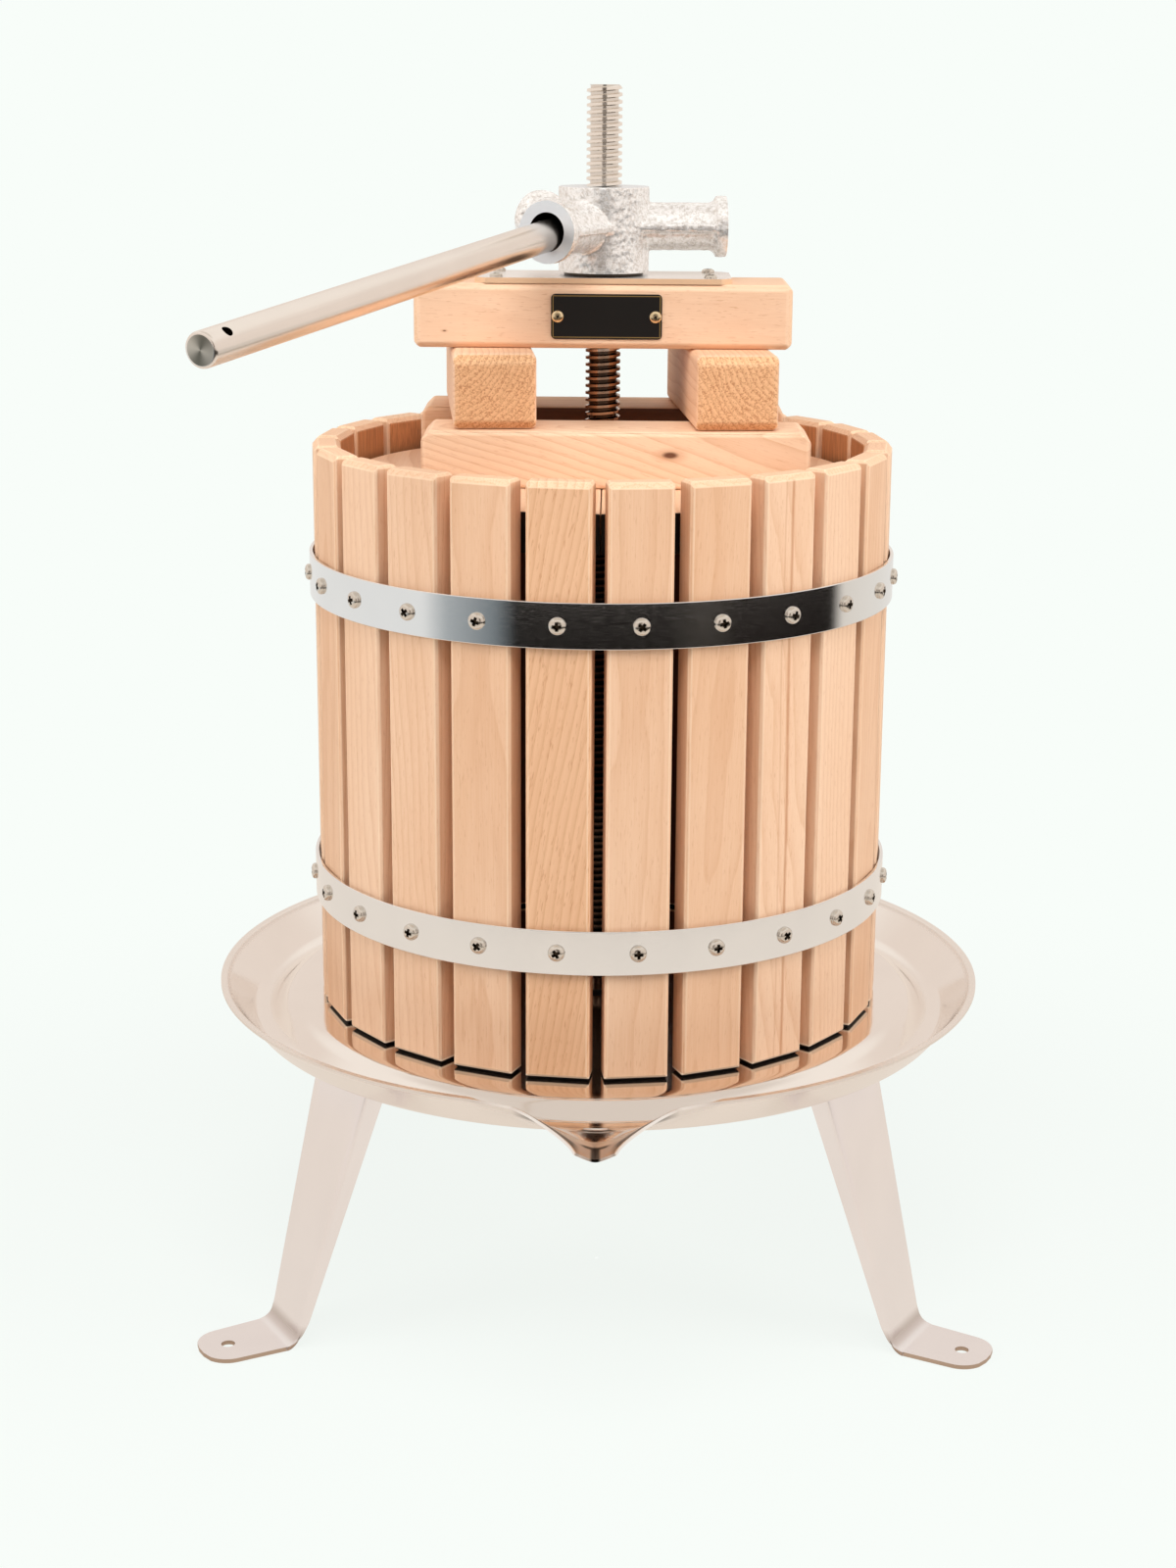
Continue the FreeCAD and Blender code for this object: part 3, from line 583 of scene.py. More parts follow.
STAVE_BEECH = Beech("stave_beech")
FLECKED_BEECH = Beech(
    "flecked_beech", light=srgb(238, 193, 155), dark=srgb(216, 162, 120),
    ring_share=0.6, ring_width=4.4, fleck_share=0.5,
)
STREAKED_BEECH = Beech("streaked_beech", streaks=((1.5, 1.6, 0.75), (-3.5, 1.0, 0.3)))
# Disc boards: their edge is painted near black.
BOARD_BEECH = Beech("board_beech", ring_share=0.5, ring_width=4.2, edge_highlight=0.1, dark_rim_radius=145.0)
# Rear batten: painted shadow on its front face between the blocks.
SHADED_BEECH = Beech(
    "shaded_beech", shade_colour=srgb(120, 66, 36), deep_shade_colour=srgb(74, 34, 18),
    ring_share=0.5, ring_width=4.2, edge_highlight=0.1, shade_heights=(560.0, 600.0), shade_half_width=60.0,
)
BEAM_BEECH = Beech(
    "beam_beech", ring_share=0.15, fleck_share=0.35, edge_highlight=0.12,
    knots=((-88.6, -30.0, 578.0, 1.6),),
)
BATTEN_BEECH = Beech(
    "batten_beech", light=srgb(247, 216, 186), dark=srgb(235, 194, 158),
    ring_share=0.5, ring_width=4.6, edge_highlight=0.08, knots=((38.0, -64.0, 514.0, 6.2),),
)
BLOCK_BEECH = Beech(
    "block_beech", end=srgb(236, 188, 142), pore=srgb(184, 120, 78),
    pores=0.75, ring_share=0.6, ring_width=3.2, edge_highlight=0.05,
)

TRAY_STEEL = Steel("tray_steel", srgb(247, 240, 234), srgb(239, 232, 226), 0.06, lined=True)
LEG_STEEL = Steel("leg_steel", srgb(250, 246, 246), srgb(240, 236, 237), 0.12, shaded_bend=True)
# Painted shade on the legs' cut edges and inside the foot's hole.
SHADED_CUT_STEEL = Steel("shaded_cut_steel", srgb(206, 184, 166), srgb(170, 148, 130), 0.35, Surface.PLATED)
HOOP_STEEL = Steel("hoop_steel", srgb(247, 247, 246), srgb(234, 235, 236), 0.04, Surface.PLATED)
SCREW_STEEL = Steel("screw_steel", srgb(238, 232, 222), srgb(206, 198, 188), 0.16, Surface.TURNED)
BRASS = Steel("brass", srgb(250, 232, 196), srgb(232, 206, 160), 0.2, Surface.TURNED)
THREAD_STEEL = Steel(
    "thread_steel", srgb(255, 250, 243), srgb(244, 236, 227), 0.1, Surface.TURNED,
    shaded_below=(562.0, 574.0),
)
# Painted shade inside the screws' cross recesses, the bar's cross hole and the sockets' bores.
RECESS_SHADE_STEEL = Steel("recess_shade_steel", srgb(92, 80, 66), srgb(40, 32, 26), 0.4, Surface.TURNED)
CAST_STEEL = Steel(
    "cast_steel", srgb(255, 254, 252), srgb(218, 212, 206), 0.12, Surface.CAST, metal=0.68
)
FACED_STEEL = Steel(
    "faced_steel", srgb(244, 248, 252), srgb(222, 227, 232), 0.28, Surface.TURNED, metal=0.7
)
# Bar's end: painted highlight wedges.
END_STEEL = Steel("end_steel", srgb(214, 208, 196), srgb(126, 124, 114), 0.3, Surface.FACED_END)
# Painted shade: the washer under the hub is dark where the hub's shadow falls.
WASHER_SHADE_STEEL = Steel("washer_shade_steel", srgb(88, 80, 72), srgb(48, 43, 38), 0.3, Surface.TURNED)
BAR_STEEL = Steel("bar_steel", srgb(250, 243, 236), srgb(236, 228, 220), 0.16, Surface.BRUSHED)
# Bearing plate: its upright edges carry a painted reflection of the wood.
PLATE_STEEL = Steel(
    "plate_steel", srgb(250, 246, 242), srgb(238, 233, 228), 0.2,
    metal=0.7, side=srgb(226, 188, 152),
)
PLAIN_STEEL = Steel("plain_steel", srgb(206, 204, 200), srgb(176, 172, 168), 0.3, Surface.PLATED)
SEAL_RUBBER = Rubber("seal_rubber")


# Forms
@dataclass
class Form:
    """Corners in millimetres and the faces that join them."""

    corners: list[Vector] = field(default_factory=list)
    faces: list[tuple[int, ...]] = field(default_factory=list)

    def __add__(self, other: "Form") -> "Form":
        """Both forms in one."""
        start = len(self.corners)
        moved = [tuple(i + start for i in face) for face in other.faces]
        return Form(self.corners + other.corners, self.faces + moved)

    def moved(self, matrix: Matrix) -> "Form":
        """Copy of the form carried by a matrix."""
        return Form([matrix @ corner for corner in self.corners], list(self.faces))

    def mesh(self, name: str) -> bpy.types.Mesh:
        """Mesh of the form in metres, its faces turned outwards.

        Args:
            name: The mesh's name.

        Returns:
            The mesh.
        """
        made = bpy.data.meshes.new(name)
        made.from_pydata([corner * MM for corner in self.corners], [], self.faces)
        work = bmesh.new()
        work.from_mesh(made)
        bmesh.ops.remove_doubles(work, verts=work.verts, dist=1e-7)
        bmesh.ops.recalc_face_normals(work, faces=work.faces)
        work.to_mesh(made)
        work.free()
        return made


def lofted(rings: Sequence[Sequence[Vector]], around: bool = True, capped: bool = True) -> Form:
    """Form through rings of corners that all have as many.

    Args:
        rings: The rings, in order.
        around: Whether each ring is closed.
        capped: Whether the first and last ring are filled.

    Returns:
        The form.
    """
    count = len(rings[0])
    corners = [corner.copy() for ring in rings for corner in ring]
    faces: list[tuple[int, ...]] = []
    for row in range(len(rings) - 1):
        for i in range(count if around else count - 1):
            j = (i + 1) % count
            low, high = row * count, (row + 1) * count
            faces.append((low + i, low + j, high + j, high + i))
    if capped:
        faces.append(tuple(reversed(range(count))))
        faces.append(tuple(range(len(corners) - count, len(corners))))
    return Form(corners, faces)


def circle(radius: float, z: float, sides: int) -> list[Vector]:
    """Corners of a level circle about the axis."""
    turns = [2 * math.pi * i / sides for i in range(sides)]
    return [Vector((radius * math.cos(a), radius * math.sin(a), z)) for a in turns]


def lathed(profile: Sequence[Point], sides: int, closed: bool = False) -> Form:
    """Form turned about the Z axis.

    Args:
        profile: Radius and height of each corner, in order.
        sides: How many steps go round.
        closed: Whether the profile runs back to its start, as a ring's does.

    Returns:
        The form.
    """
    rings = [circle(max(radius, 0.01), z, sides) for radius, z in profile]
    if closed:
        rings.append(rings[0])
    return lofted(rings, capped=not closed)


def rounded(
    corners: Sequence[Point], radii: Sequence[float], steps: int, closed: bool = False
) -> list[Point]:
    """Chain of corners with its bends drawn as arcs.

    Args:
        corners: The chain.
        radii: Radius at each corner.
        steps: Steps of each arc.
        closed: Whether the chain is closed.

    Returns:
        The chain's points.
    """
    points: list[Point] = []
    count = len(corners)
    for i, (corner, radius) in enumerate(zip(corners, radii)):
        inner = closed or 0 < i < count - 1
        here = Vector(corner)
        if radius <= 0 or not inner:
            points.append((here.x, here.y))
            continue
        back = Vector(corners[i - 1]) - here
        ahead = Vector(corners[(i + 1) % count]) - here
        half = back.angle(ahead) / 2
        run = min(radius / math.tan(half), back.length * 0.499, ahead.length * 0.499)
        radius = run * math.tan(half)
        start, end = here + back.normalized() * run, here + ahead.normalized() * run
        towards = (back.normalized() + ahead.normalized()).normalized()
        middle = here + towards * (run / math.cos(half))
        first, last = start - middle, end - middle
        turn = first.angle_signed(last)
        for step in range(steps + 1):
            angle = -turn * step / steps
            spun = Matrix.Rotation(angle, 2) @ first
            points.append((middle.x + spun.x, middle.y + spun.y))
    return points


def slab(half_x: float, half_y: float, low: float, high: float) -> Form:
    """Plain block between two heights, used to cut other forms."""
    flat = [(-half_x, -half_y), (half_x, -half_y), (half_x, half_y), (-half_x, half_y)]
    return lofted([[Vector((x, y, z)) for x, y in flat] for z in (low, high)])


def about(axis: str, degrees: float) -> Matrix:
    """Turn about the X, Y or Z axis."""
    return Matrix.Rotation(math.radians(degrees), 4, axis)


def shift(x: float, y: float, z: float) -> Matrix:
    """Move by millimetres."""
    return Matrix.Translation((x, y, z))


# Pieces
def linked(name: str, data: bpy.types.ID) -> bpy.types.Object:
    """New object in the scene."""
    made = bpy.data.objects.new(name, data)
    bpy.context.scene.collection.objects.link(made)
    return made


def painted(mesh: bpy.types.Mesh, *finishes: Finish) -> None:
    """Gives a mesh its finishes' materials, in order, instead of any that it has."""
    mesh.materials.clear()
    for finish in finishes:
        mesh.materials.append(finish.material())


def store(
    mesh: bpy.types.Mesh,
    name: str,
    values: Sequence[float],
    per: str = "POINT",
    kind: str = "FLOAT",
) -> None:
    """Keeps values on a mesh for its material to read.

    Args:
        mesh: The mesh.
        name: The name that the material asks for.
        values: The values, in order.
        per: What has one each, POINT or FACE.
        kind: FLOAT, or FLOAT_VECTOR for three numbers each.
    """
    layer = mesh.attributes.new(name, kind, per)
    layer.data.foreach_set("vector" if kind == "FLOAT_VECTOR" else "value", values)


def shaded(mesh: bpy.types.Mesh, angle: float) -> None:
    """Smooths a mesh's faces, apart from edges sharper than an angle in degrees."""
    mesh.shade_smooth()
    mesh.set_sharp_from_angle(angle=math.radians(angle))


def evaluated(piece: bpy.types.Object) -> bpy.types.Mesh:
    """Mesh of an object with its modifiers applied."""
    graph = bpy.context.evaluated_depsgraph_get()
    return bpy.data.meshes.new_from_object(piece.evaluated_get(graph), depsgraph=graph)


def worked(mesh: bpy.types.Mesh, *modifiers: tuple[str, dict[str, object]]) -> bpy.types.Mesh:
    """Puts a mesh through modifiers.

    Args:
        mesh: The mesh.
        modifiers: Type and settings of each, in order.

    Returns:
        The mesh that results.
    """
    bench = linked("bench", mesh)
    for kind, settings in modifiers:
        modifier = bench.modifiers.new(kind.lower(), kind)
        for name, value in settings.items():
            setattr(modifier, name, value)
    bpy.context.view_layer.update()
    made = evaluated(bench)
    bpy.data.objects.remove(bench)
    return made


def cut(mesh: bpy.types.Mesh, *tools: Form) -> bpy.types.Mesh:
    """Cuts forms out of a mesh.

    Args:
        mesh: What is cut.
        tools: What is taken away.

    Returns:
        The mesh that is left.
    """
    cutters = [linked("cutter", tool.mesh("cutter")) for tool in tools]
    settings = {"operation": "DIFFERENCE", "solver": "MANIFOLD"}
    steps = [("BOOLEAN", {**settings, "object": cutter}) for cutter in cutters]
    made = worked(mesh, *steps)
    for cutter in cutters:
        bpy.data.objects.remove(cutter)
    return made


def piece(
    name: str,
    mesh: bpy.types.Mesh,
    finish: Finish,
    body: Body,
    slot: str,
    nodes: Iterable[str],
    angle: float | None = 35.0,
) -> bpy.types.Object:
    """Makes a piece that stands for CAD nodes.

    Args:
        name: The piece's name.
        mesh: Its mesh, in metres and in place.
        finish: Its finish.
        body: What it rides on.
        slot: The record's material slot; not used.
        nodes: The CAD nodes it stands for.
        angle: Edges sharper than this stay sharp, in degrees, or None to keep the mesh's shading.

    Returns:
        The piece.
    """
    mesh.name = name
    if not any(mesh.materials):
        painted(mesh, finish)
    if angle is not None:
        shaded(mesh, angle)
    made = linked(name, mesh)
    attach(made, body.value)
    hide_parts(*nodes)
    LOG.info("piece %s: %d faces, for %s", name, len(mesh.polygons), ", ".join(nodes))
    return made


def dressed(node: str, finish: Finish) -> None:
    """Gives a CAD node that stays as it is its finish."""
    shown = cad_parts[node]
    material = finish.material()
    if shown.material_slots:
        for place in shown.material_slots:
            place.material = material
    else:
        shown.data.materials.append(material)
    LOG.info("node %s: %s", node, finish.name)


@dataclass(frozen=True)
class Grain:
    """How a board was sawn: where the tree's middle lay and how it leant."""

    along: Vector
    across: Vector
    pith: Point
    lean: Point = (0.0, 0.0)
    seed: float = 0.0

    def place(self, middle: Vector, spot: Vector) -> Vector:
        """Place within the tree of a spot on the board.

        Args:
            middle: The board's middle, in millimetres.
            spot: The spot, in millimetres.

        Returns:
            Across, deep and along the tree's axis, in millimetres.
        """
        away = spot - middle
        run = away.dot(self.along)
        side = away.dot(self.across) + self.pith[0] + self.lean[0] * run
        deep = away.dot(self.along.cross(self.across)) + self.pith[1] + self.lean[1] * run
        return Vector((side, deep, run + self.seed * 4000))


def board(
    node: str,
    finish: Finish,
    body: Body,
    slot: str,
    grain: Grain,
    arris: float,
    stained: Vector | None = None,
) -> bpy.types.Object:
    """Makes a wooden piece from a CAD node's own faces, with softened edges and its grain.

    Args:
        node: The CAD node it stands for.
        finish: Its finish.
        body: What it rides on.
        slot: The record's material slot.
        grain: How the board was sawn.
        arris: How far its edges are softened, in millimetres.
        stained: Which way the faces look that are painted with shade, if any.

    Returns:
        The piece.
    """
    work = bmesh.new()
    work.from_mesh(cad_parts[node].data)
    bmesh.ops.remove_doubles(work, verts=work.verts, dist=1e-6)
    flat = math.radians(1.0)
    bmesh.ops.dissolve_limit(work, angle_limit=flat, verts=work.verts, edges=work.edges)
    sharp = [e for e in work.edges if e.is_manifold and e.calc_face_angle(0.0) > math.radians(20)]
    settings = {"offset": arris * MM, "segments": 2, "profile": 0.5, "affect": "EDGES"}
    made = bmesh.ops.bevel(work, geom=sharp, **settings)
    soft = {face for face in made["faces"] if face.is_valid}
    bmesh.ops.recalc_face_normals(work, faces=work.faces)
    work.faces.index_update()
    edges = [1.0 if face in soft else 0.0 for face in work.faces]
    inward = [1.0 if stained and face.normal.dot(stained) > 0.8 else 0.0 for face in work.faces]
    ends = [1.0 if abs(face.normal.dot(grain.along)) > 0.6 else 0.0 for face in work.faces]
    mesh = bpy.data.meshes.new(node)
    work.to_mesh(mesh)
    work.free()
    low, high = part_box(node)
    middle = (low + high) / 2 / MM
    spots = [vertex.co / MM for vertex in mesh.vertices]
    places = [grain.place(middle, spot) for spot in spots]
    store(mesh, "grain", [part for place in places for part in place], kind="FLOAT_VECTOR")
    store(mesh, "across", [(spot - middle).dot(grain.across) for spot in spots])
    seeds = [grain.seed % 1.0] * len(ends)
    layers = {"arris": edges, "end_grain": ends, "board": seeds, "stained": inward}
    for name, values in layers.items():
        store(mesh, name, values, "FACE")
    shaded(mesh, 60)
    mesh = worked(mesh, ("WEIGHTED_NORMAL", {"keep_sharp": True}))
    return piece(node + "_wood", mesh, finish, body, slot, [node], None)


def cross_head(
    diameter: float, height: float, recess: float, finish: Finish, sides: int = 32
) -> bpy.types.Mesh:
    """Domed screw head with a cross recess, its underside at z = 0.

    Args:
        diameter: Across the head.
        height: Of the dome.
        recess: Across the cross.
        finish: Of the head, apart from the recess.
        sides: Steps round the head.

    Returns:
        The head's mesh.
    """
    r = diameter / 2
    shares = ((1.0, 0.15), (0.97, 0.42), (0.86, 0.7), (0.66, 0.89), (0.42, 0.97), (0.2, 1.0))
    dome = [(r * 0.94, -0.25), *((r * a, b * height) for a, b in shares), (0.02, height)]
    mesh = lathed(dome, sides).mesh("head")
    arms = []
    for turn in (0, 90):
        rings = []
        for z, grow in ((height * 0.25, 0.45), (height * 1.2, 1.1)):
            x, y = recess / 2 * grow, recess * 0.14 * (0.6 + grow * 0.6)
            flat = [(-x, -y), (x, -y), (x, y), (-x, y)]
            rings.append([about("Z", turn) @ Vector((px, py, z)) for px, py in flat])
        arms.append(lofted(rings))
    mesh = cut(mesh, *arms)
    painted(mesh, finish, RECESS_SHADE_STEEL)
    pairs = list(zip(dome, dome[1:] + [(0.0, 0.0)]))
    for face in mesh.polygons:
        spot = face.center / MM
        away = spot.xy.length
        surface = max(z for (_, z), (r1, _) in pairs if r1 <= away + 0.01)
        face.material_index = int(away < recess * 0.6 and 0 < spot.z < surface - 0.12 * height)
    return mesh


def copies(mesh: bpy.types.Mesh, places: Sequence[Matrix]) -> bpy.types.Mesh:
    """One mesh that holds a copy of another at each place, given in millimetres."""
    work = bmesh.new()
    for place in places:
        start = len(work.verts)
        work.from_mesh(mesh)
        work.verts.ensure_lookup_table()
        shrink, grow = (Matrix.Diagonal((size, size, size, 1)) for size in (MM, 1 / MM))
        matrix = shrink @ place @ grow
        bmesh.ops.transform(work, matrix=matrix, verts=work.verts[start:])
    made = bpy.data.meshes.new("copies")
    work.to_mesh(made)
    work.free()
    for material in mesh.materials:
        made.materials.append(material)
    return made


# The press, from the floor up
@dataclass
class Legs:
    """Three legs folded from sheet: foot, leaning web with flanges, tab under the plate."""

    azimuths: dict[str, float] = field(
        default_factory=lambda: dict(leg_front_left=210.0, leg_front_right=330.0, leg_rear=90.0)
    )
    height: float = 178.5
    sheet: float = 2.5
    floor_r: float = 212.8
    top_r: float = 165.5
    foot_end_r: float = 262.5
    tab_end_r: float = 119.5
    foot_width: float = 41.0
    foot_end_width: float = 37.0
    foot_corner: float = 15.0
    top_width: float = 73.0
    tab_width: float = 60.0
    tab_corner: float = 8.0
    foot_bend: float = 8.0
    bend: float = 4.0
    fold: float = 4.2
    flange_foot: float = 4.6
    flange_top: float = 14.4
    flange_start: float = 15.0
    hole_r: float = 246.0
    hole_width: float = 8.0

    def path(self) -> list[Point]:
        """Radius and height of the leg's upper and outer face, from the foot's end to the tab's."""
        corners = [
            (self.foot_end_r, self.sheet),
            (self.floor_r - (self.floor_r - self.top_r) * self.sheet / self.height, self.sheet),
            (self.top_r, self.height),
            (self.tab_end_r, self.height),
        ]
        chain = rounded(corners, [0, self.foot_bend, self.bend + self.sheet, 0], 12)
        dense: list[Point] = []
        for (ax, ay), (bx, by) in zip(chain, chain[1:]):
            steps = max(1, int(math.hypot(bx - ax, by - ay) / 1.6))
            for s in range(steps):
                dense.append((ax + (bx - ax) * s / steps, ay + (by - ay) * s / steps))
        return dense + [chain[-1]]

    def half_width(self, radius: float, z: float) -> float:
        """Half the leg's width at a place on its path.

        Args:
            radius: The place's radius.
            z: Its height.

        Returns:
            The half width.
        """
        if z <= self.sheet + 0.01:
            share = (radius - self.floor_r) / (self.foot_end_r - self.floor_r)
            half = (self.foot_width + (self.foot_end_width - self.foot_width) * share) / 2
            return self.cornered(half, self.foot_end_r - radius, self.foot_corner)
        if z >= self.height - 0.01:
            start = self.top_r - self.bend
            blend = min(1.0, max(0.0, (start - radius) / 8))
            half = self.top_width / 2 + (self.tab_width - self.top_width) / 2 * blend - self.fold
            return self.cornered(half, radius - self.tab_end_r, self.tab_corner)
        return (self.foot_width + (self.top_width - self.foot_width) * z / self.height) / 2

    def cornered(self, half: float, left: float, corner: float) -> float:
        """Half width drawn in by a round corner near an end."""
        if left >= corner:
            return half
        inward = corner - math.sqrt(max(corner**2 - (corner - left) ** 2, 0.0))
        return half - inward

    def flange(self, z: float) -> float:
        """Depth of the folded flange at a height."""
        if z <= self.sheet + 0.01 or z >= self.height - 0.01:
            return 0.0
        if z < self.flange_start:
            return self.flange_foot * ((z - self.sheet) / (self.flange_start - self.sheet)) ** 0.7
        share = (z - self.flange_start) / (self.height - self.flange_start)
        ease = min(1.0, (self.height - z) / 9)
        return (self.flange_foot + (self.flange_top - self.flange_foot) * share) * ease

    def shell(self) -> Form:
        """Outer face of a leg along +X, as a sheet without thickness."""
        path = self.path()
        rings = []
        for i, (radius, z) in enumerate(path):
            before, after = path[max(i - 1, 0)], path[min(i + 1, len(path) - 1)]
            run = Vector((after[0] - before[0], after[1] - before[1])).normalized()
            inward = Vector((run.y, -run.x)) * -1
            half, deep = self.half_width(radius, z), self.flange(z)
            fold = min(self.fold, deep)
            section: list[Point] = []
            for share in (1.0, 0.66, 0.33):
                section.append((half, fold + (deep - fold) * share))
            for step in range(7):
                angle = math.pi / 2 * step / 6
                over, down = fold * math.cos(angle), fold * math.sin(angle)
                section.append((half - fold + over, fold - down))
            section += [((half - fold) * share, 0.0) for share in (0.75, 0.5, 0.25)]
            section = section + [(0.0, 0.0)] + [(-y, n) for y, n in reversed(section)]
            ring = []
            for y, n in section:
                level = Vector((-1.0, 0.0)) if 0 < deep else inward
                ring.append(Vector((radius + level.x * n, y, z + level.y * n)))
            rings.append(ring)
        return lofted(rings, around=False, capped=False)

    def cut_side(self, face: bpy.types.MeshPolygon) -> int:
        """1 where a face lies across the sheet, at its edge or in the foot's hole, which take
        painted shade, or 0.
        """
        away = math.hypot(face.center.x / MM - self.hole_r, face.center.y / MM)
        in_hole = away < self.hole_width / 2 + 0.1 and abs(face.normal.z) < 0.5
        return int(in_hole or face.material_index == 1)

    def build(self) -> None:
        """Makes the three legs."""
        hole = lathed([(self.hole_width / 2, -3), (self.hole_width / 2, 6)], 32)
        shell = self.shell().mesh("leg")
        painted(shell, LEG_STEEL, SHADED_CUT_STEEL)
        thick = {"thickness": self.sheet * MM, "offset": -1.0, "material_offset_rim": 1}
        solid = cut(worked(shell, ("SOLIDIFY", thick)), hole.moved(shift(self.hole_r, 0, 0)))
        sides = [self.cut_side(face) for face in solid.polygons]
        painted(solid, LEG_STEEL, SHADED_CUT_STEEL)
        solid.polygons.foreach_set("material_index", sides)
        for name, azimuth in self.azimuths.items():
            mesh = copies(solid, [about("Z", azimuth)])
            piece(name + "_sheet", mesh, LEG_STEEL, Body.BASE, "legs", [name], 40)


@dataclass
class JuiceTray:
    """Tray pressed from one sheet: a raised middle, a gutter, a wall with a lip and a V spout."""

    hole_r: float = 10.5
    top: float = 184.0
    plateau_r: float = 186.0
    gutter_in: float = 197.0
    gutter_out: float = 205.5
    gutter_top: float = 172.5
    wall_r: float = 223.4
    rim_r: float = 227.0
    rim_top: float = 194.4
    sheet: float = 1.5
    reach: float = 22.0
    mouth: float = 45.0
    tip: float = 11.0
    tip_depth: float = 6.0
    tip_rise: float = 2.0
    flare: float = 1.6
    fall: float = 1.3
    hollow: float = 0.22
    softness: float = 5.0
    apart: Point = (58.0, 84.0)

    def __post_init__(self) -> None:
        """Draws the section of the round part."""
        corners = [
            (self.hole_r, self.top),
            (self.plateau_r, self.top),
            (self.gutter_in, self.gutter_top),
            (self.gutter_out, self.gutter_top),
            (self.wall_r, self.rim_top),
            (self.rim_r, self.rim_top),
        ]
        self.section = rounded(corners, [0, 14, 8, 12, 1.8, 0], 10)

    def round_height(self, radius: float) -> float:
        """Height of the round part at a radius."""
        points = self.section
        for (r0, z0), (r1, z1) in zip(points, points[1:]):
            if radius <= r1:
                share = (radius - r0) / (r1 - r0) if r1 > r0 else 1.0
                return z0 + (z1 - z0) * max(share, 0.0)
        return points[-1][1]

    def spout(self, y: float) -> tuple[float, float, float]:
        """The spout's V at a place along it.

        Args:
            y: The place, which is negative.

        Returns:
            Half width and height of its edge, then the height of its floor.
        """
        share = (-y - self.wall_r) / (self.rim_r + self.reach - self.wall_r)
        left = max(1 - share, 0.0)
        tip_edge = self.gutter_top + self.tip_depth
        edge_z = min(tip_edge + (self.rim_top - tip_edge) * left**self.fall, self.rim_top)
        edge_x = self.tip + (self.mouth - self.tip) * left**self.flare
        return edge_x, edge_z, self.gutter_top + self.tip_rise * max(1 - left, 0.0) ** 2

    def height(self, x: float, y: float) -> float:
        """Height of the upper face at a place.

        Args:
            x: The place's X.
            y: The place's Y.

        Returns:
            The height.
        """
        radius = math.hypot(x, y)
        level = self.round_height(min(radius, self.rim_r))
        if radius <= self.gutter_out or y > 0:
            return level
        edge_x, edge_z, floor_z = self.spout(y)
        shaded_bend = math.hypot(abs(x) / edge_x, self.hollow) - self.hollow
        channel = floor_z + (edge_z - floor_z) * shaded_bend / (math.hypot(1, self.hollow) - self.hollow)
        beside = (abs(x) - self.apart[0]) / (self.apart[1] - self.apart[0])
        channel += 40 * min(max(beside, 0.0), 1.0) ** 2
        gap = max(self.softness - abs(level - channel), 0.0) / self.softness
        blend = min(1.0, (radius - self.gutter_out) / 6)
        return min(level, channel) - gap * gap * self.softness / 4 * blend

    def border(self, azimuth: float) -> float:
        """Radius of the sheet's edge at an azimuth measured from the spout, in radians."""
        side, ahead = abs(math.sin(azimuth)), math.cos(azimuth)
        if ahead < 0.9:
            return self.rim_r
        low, high = self.rim_r, (self.rim_r + self.reach) / ahead
        if high * side <= self.tip:
            return high
        if low * side >= self.spout(-low * ahead)[0]:
            return low
        for _ in range(30):
            middle = (low + high) / 2
            if middle * side < self.spout(-middle * ahead)[0]:
                low = middle
            else:
                high = middle
        return low

    def inset(self, corner: Vector) -> float:
        """How far a corner lies inside the spout's edge, square to it."""
        if corner.y > -self.gutter_out:
            return 50.0
        edge, ahead = self.spout(corner.y)[0], self.spout(corner.y - 1)[0]
        slope = math.hypot(1.0, edge - ahead)
        return (edge - abs(corner.x)) / slope

    def line(self, corner: Vector) -> float:
        """How much of the painted dark reflection along the spout's edge shows at a corner."""
        if corner.y > 0:
            return 0.0
        side = abs(corner.x)
        return min(max((44 - side) / 12, 0.0), 1.0) * min(max((side - 8) / 4, 0.0), 1.0)

    def build(self) -> None:
        """Makes the tray, in coarse steps round it and fine ones over the spout."""
        turns = [i * 0.75 for i in range(480) if not (i < 20 or i > 460)]
        turns += [i * 0.2 for i in range(-74, 75)]
        turns = sorted({round(turn % 360, 3) for turn in turns})
        inner = sorted({round(r, 3) for r, _ in self.section if r <= self.gutter_out})
        inner = [r for i, r in enumerate(inner) if i == 0 or r - inner[i - 1] > 0.05]
        inner += [60.0, 110.0, 150.0, 175.0]
        inner = sorted(inner)
        outer = [((r - self.gutter_out) / (self.rim_r - self.gutter_out)) for r, _ in self.section]
        shares = sorted({round(s, 4) for s in outer if s > 0.002} | {i / 40 for i in range(1, 41)})
        columns: list[list[Vector]] = []
        for turn in turns:
            azimuth = math.radians(turn)
            border = self.border(azimuth if turn < 180 else azimuth - 2 * math.pi)
            radii = inner + [self.gutter_out + (border - self.gutter_out) * s for s in shares]
            column = []
            for radius in radii:
                x, y = radius * math.sin(azimuth), -radius * math.cos(azimuth)
                column.append(Vector((x, y, self.height(x, y))))
            columns.append(column)
        form = lofted(columns, around=False, capped=False)
        count, last = len(columns[0]), (len(columns) - 1) * len(columns[0])
        form.faces += [(last + i, last + i + 1, i + 1, i) for i in range(count - 1)]
        mesh = bpy.data.meshes.new("tray")
        mesh.from_pydata([corner * MM for corner in form.corners], [], form.faces)
        store(mesh, "inset", [self.inset(corner) for corner in form.corners])
        store(mesh, "spout_line", [self.line(corner) for corner in form.corners])
        up = sum(1 if face.normal.z > 0 else -1 for face in mesh.polygons)
        thick = {"thickness": self.sheet * MM, "offset": -1.0 if up > 0 else 1.0}
        solid = worked(mesh, ("SOLIDIFY", thick))
        piece("juice_tray", solid, TRAY_STEEL, Body.BASE, "tray", ["tray"], 50)


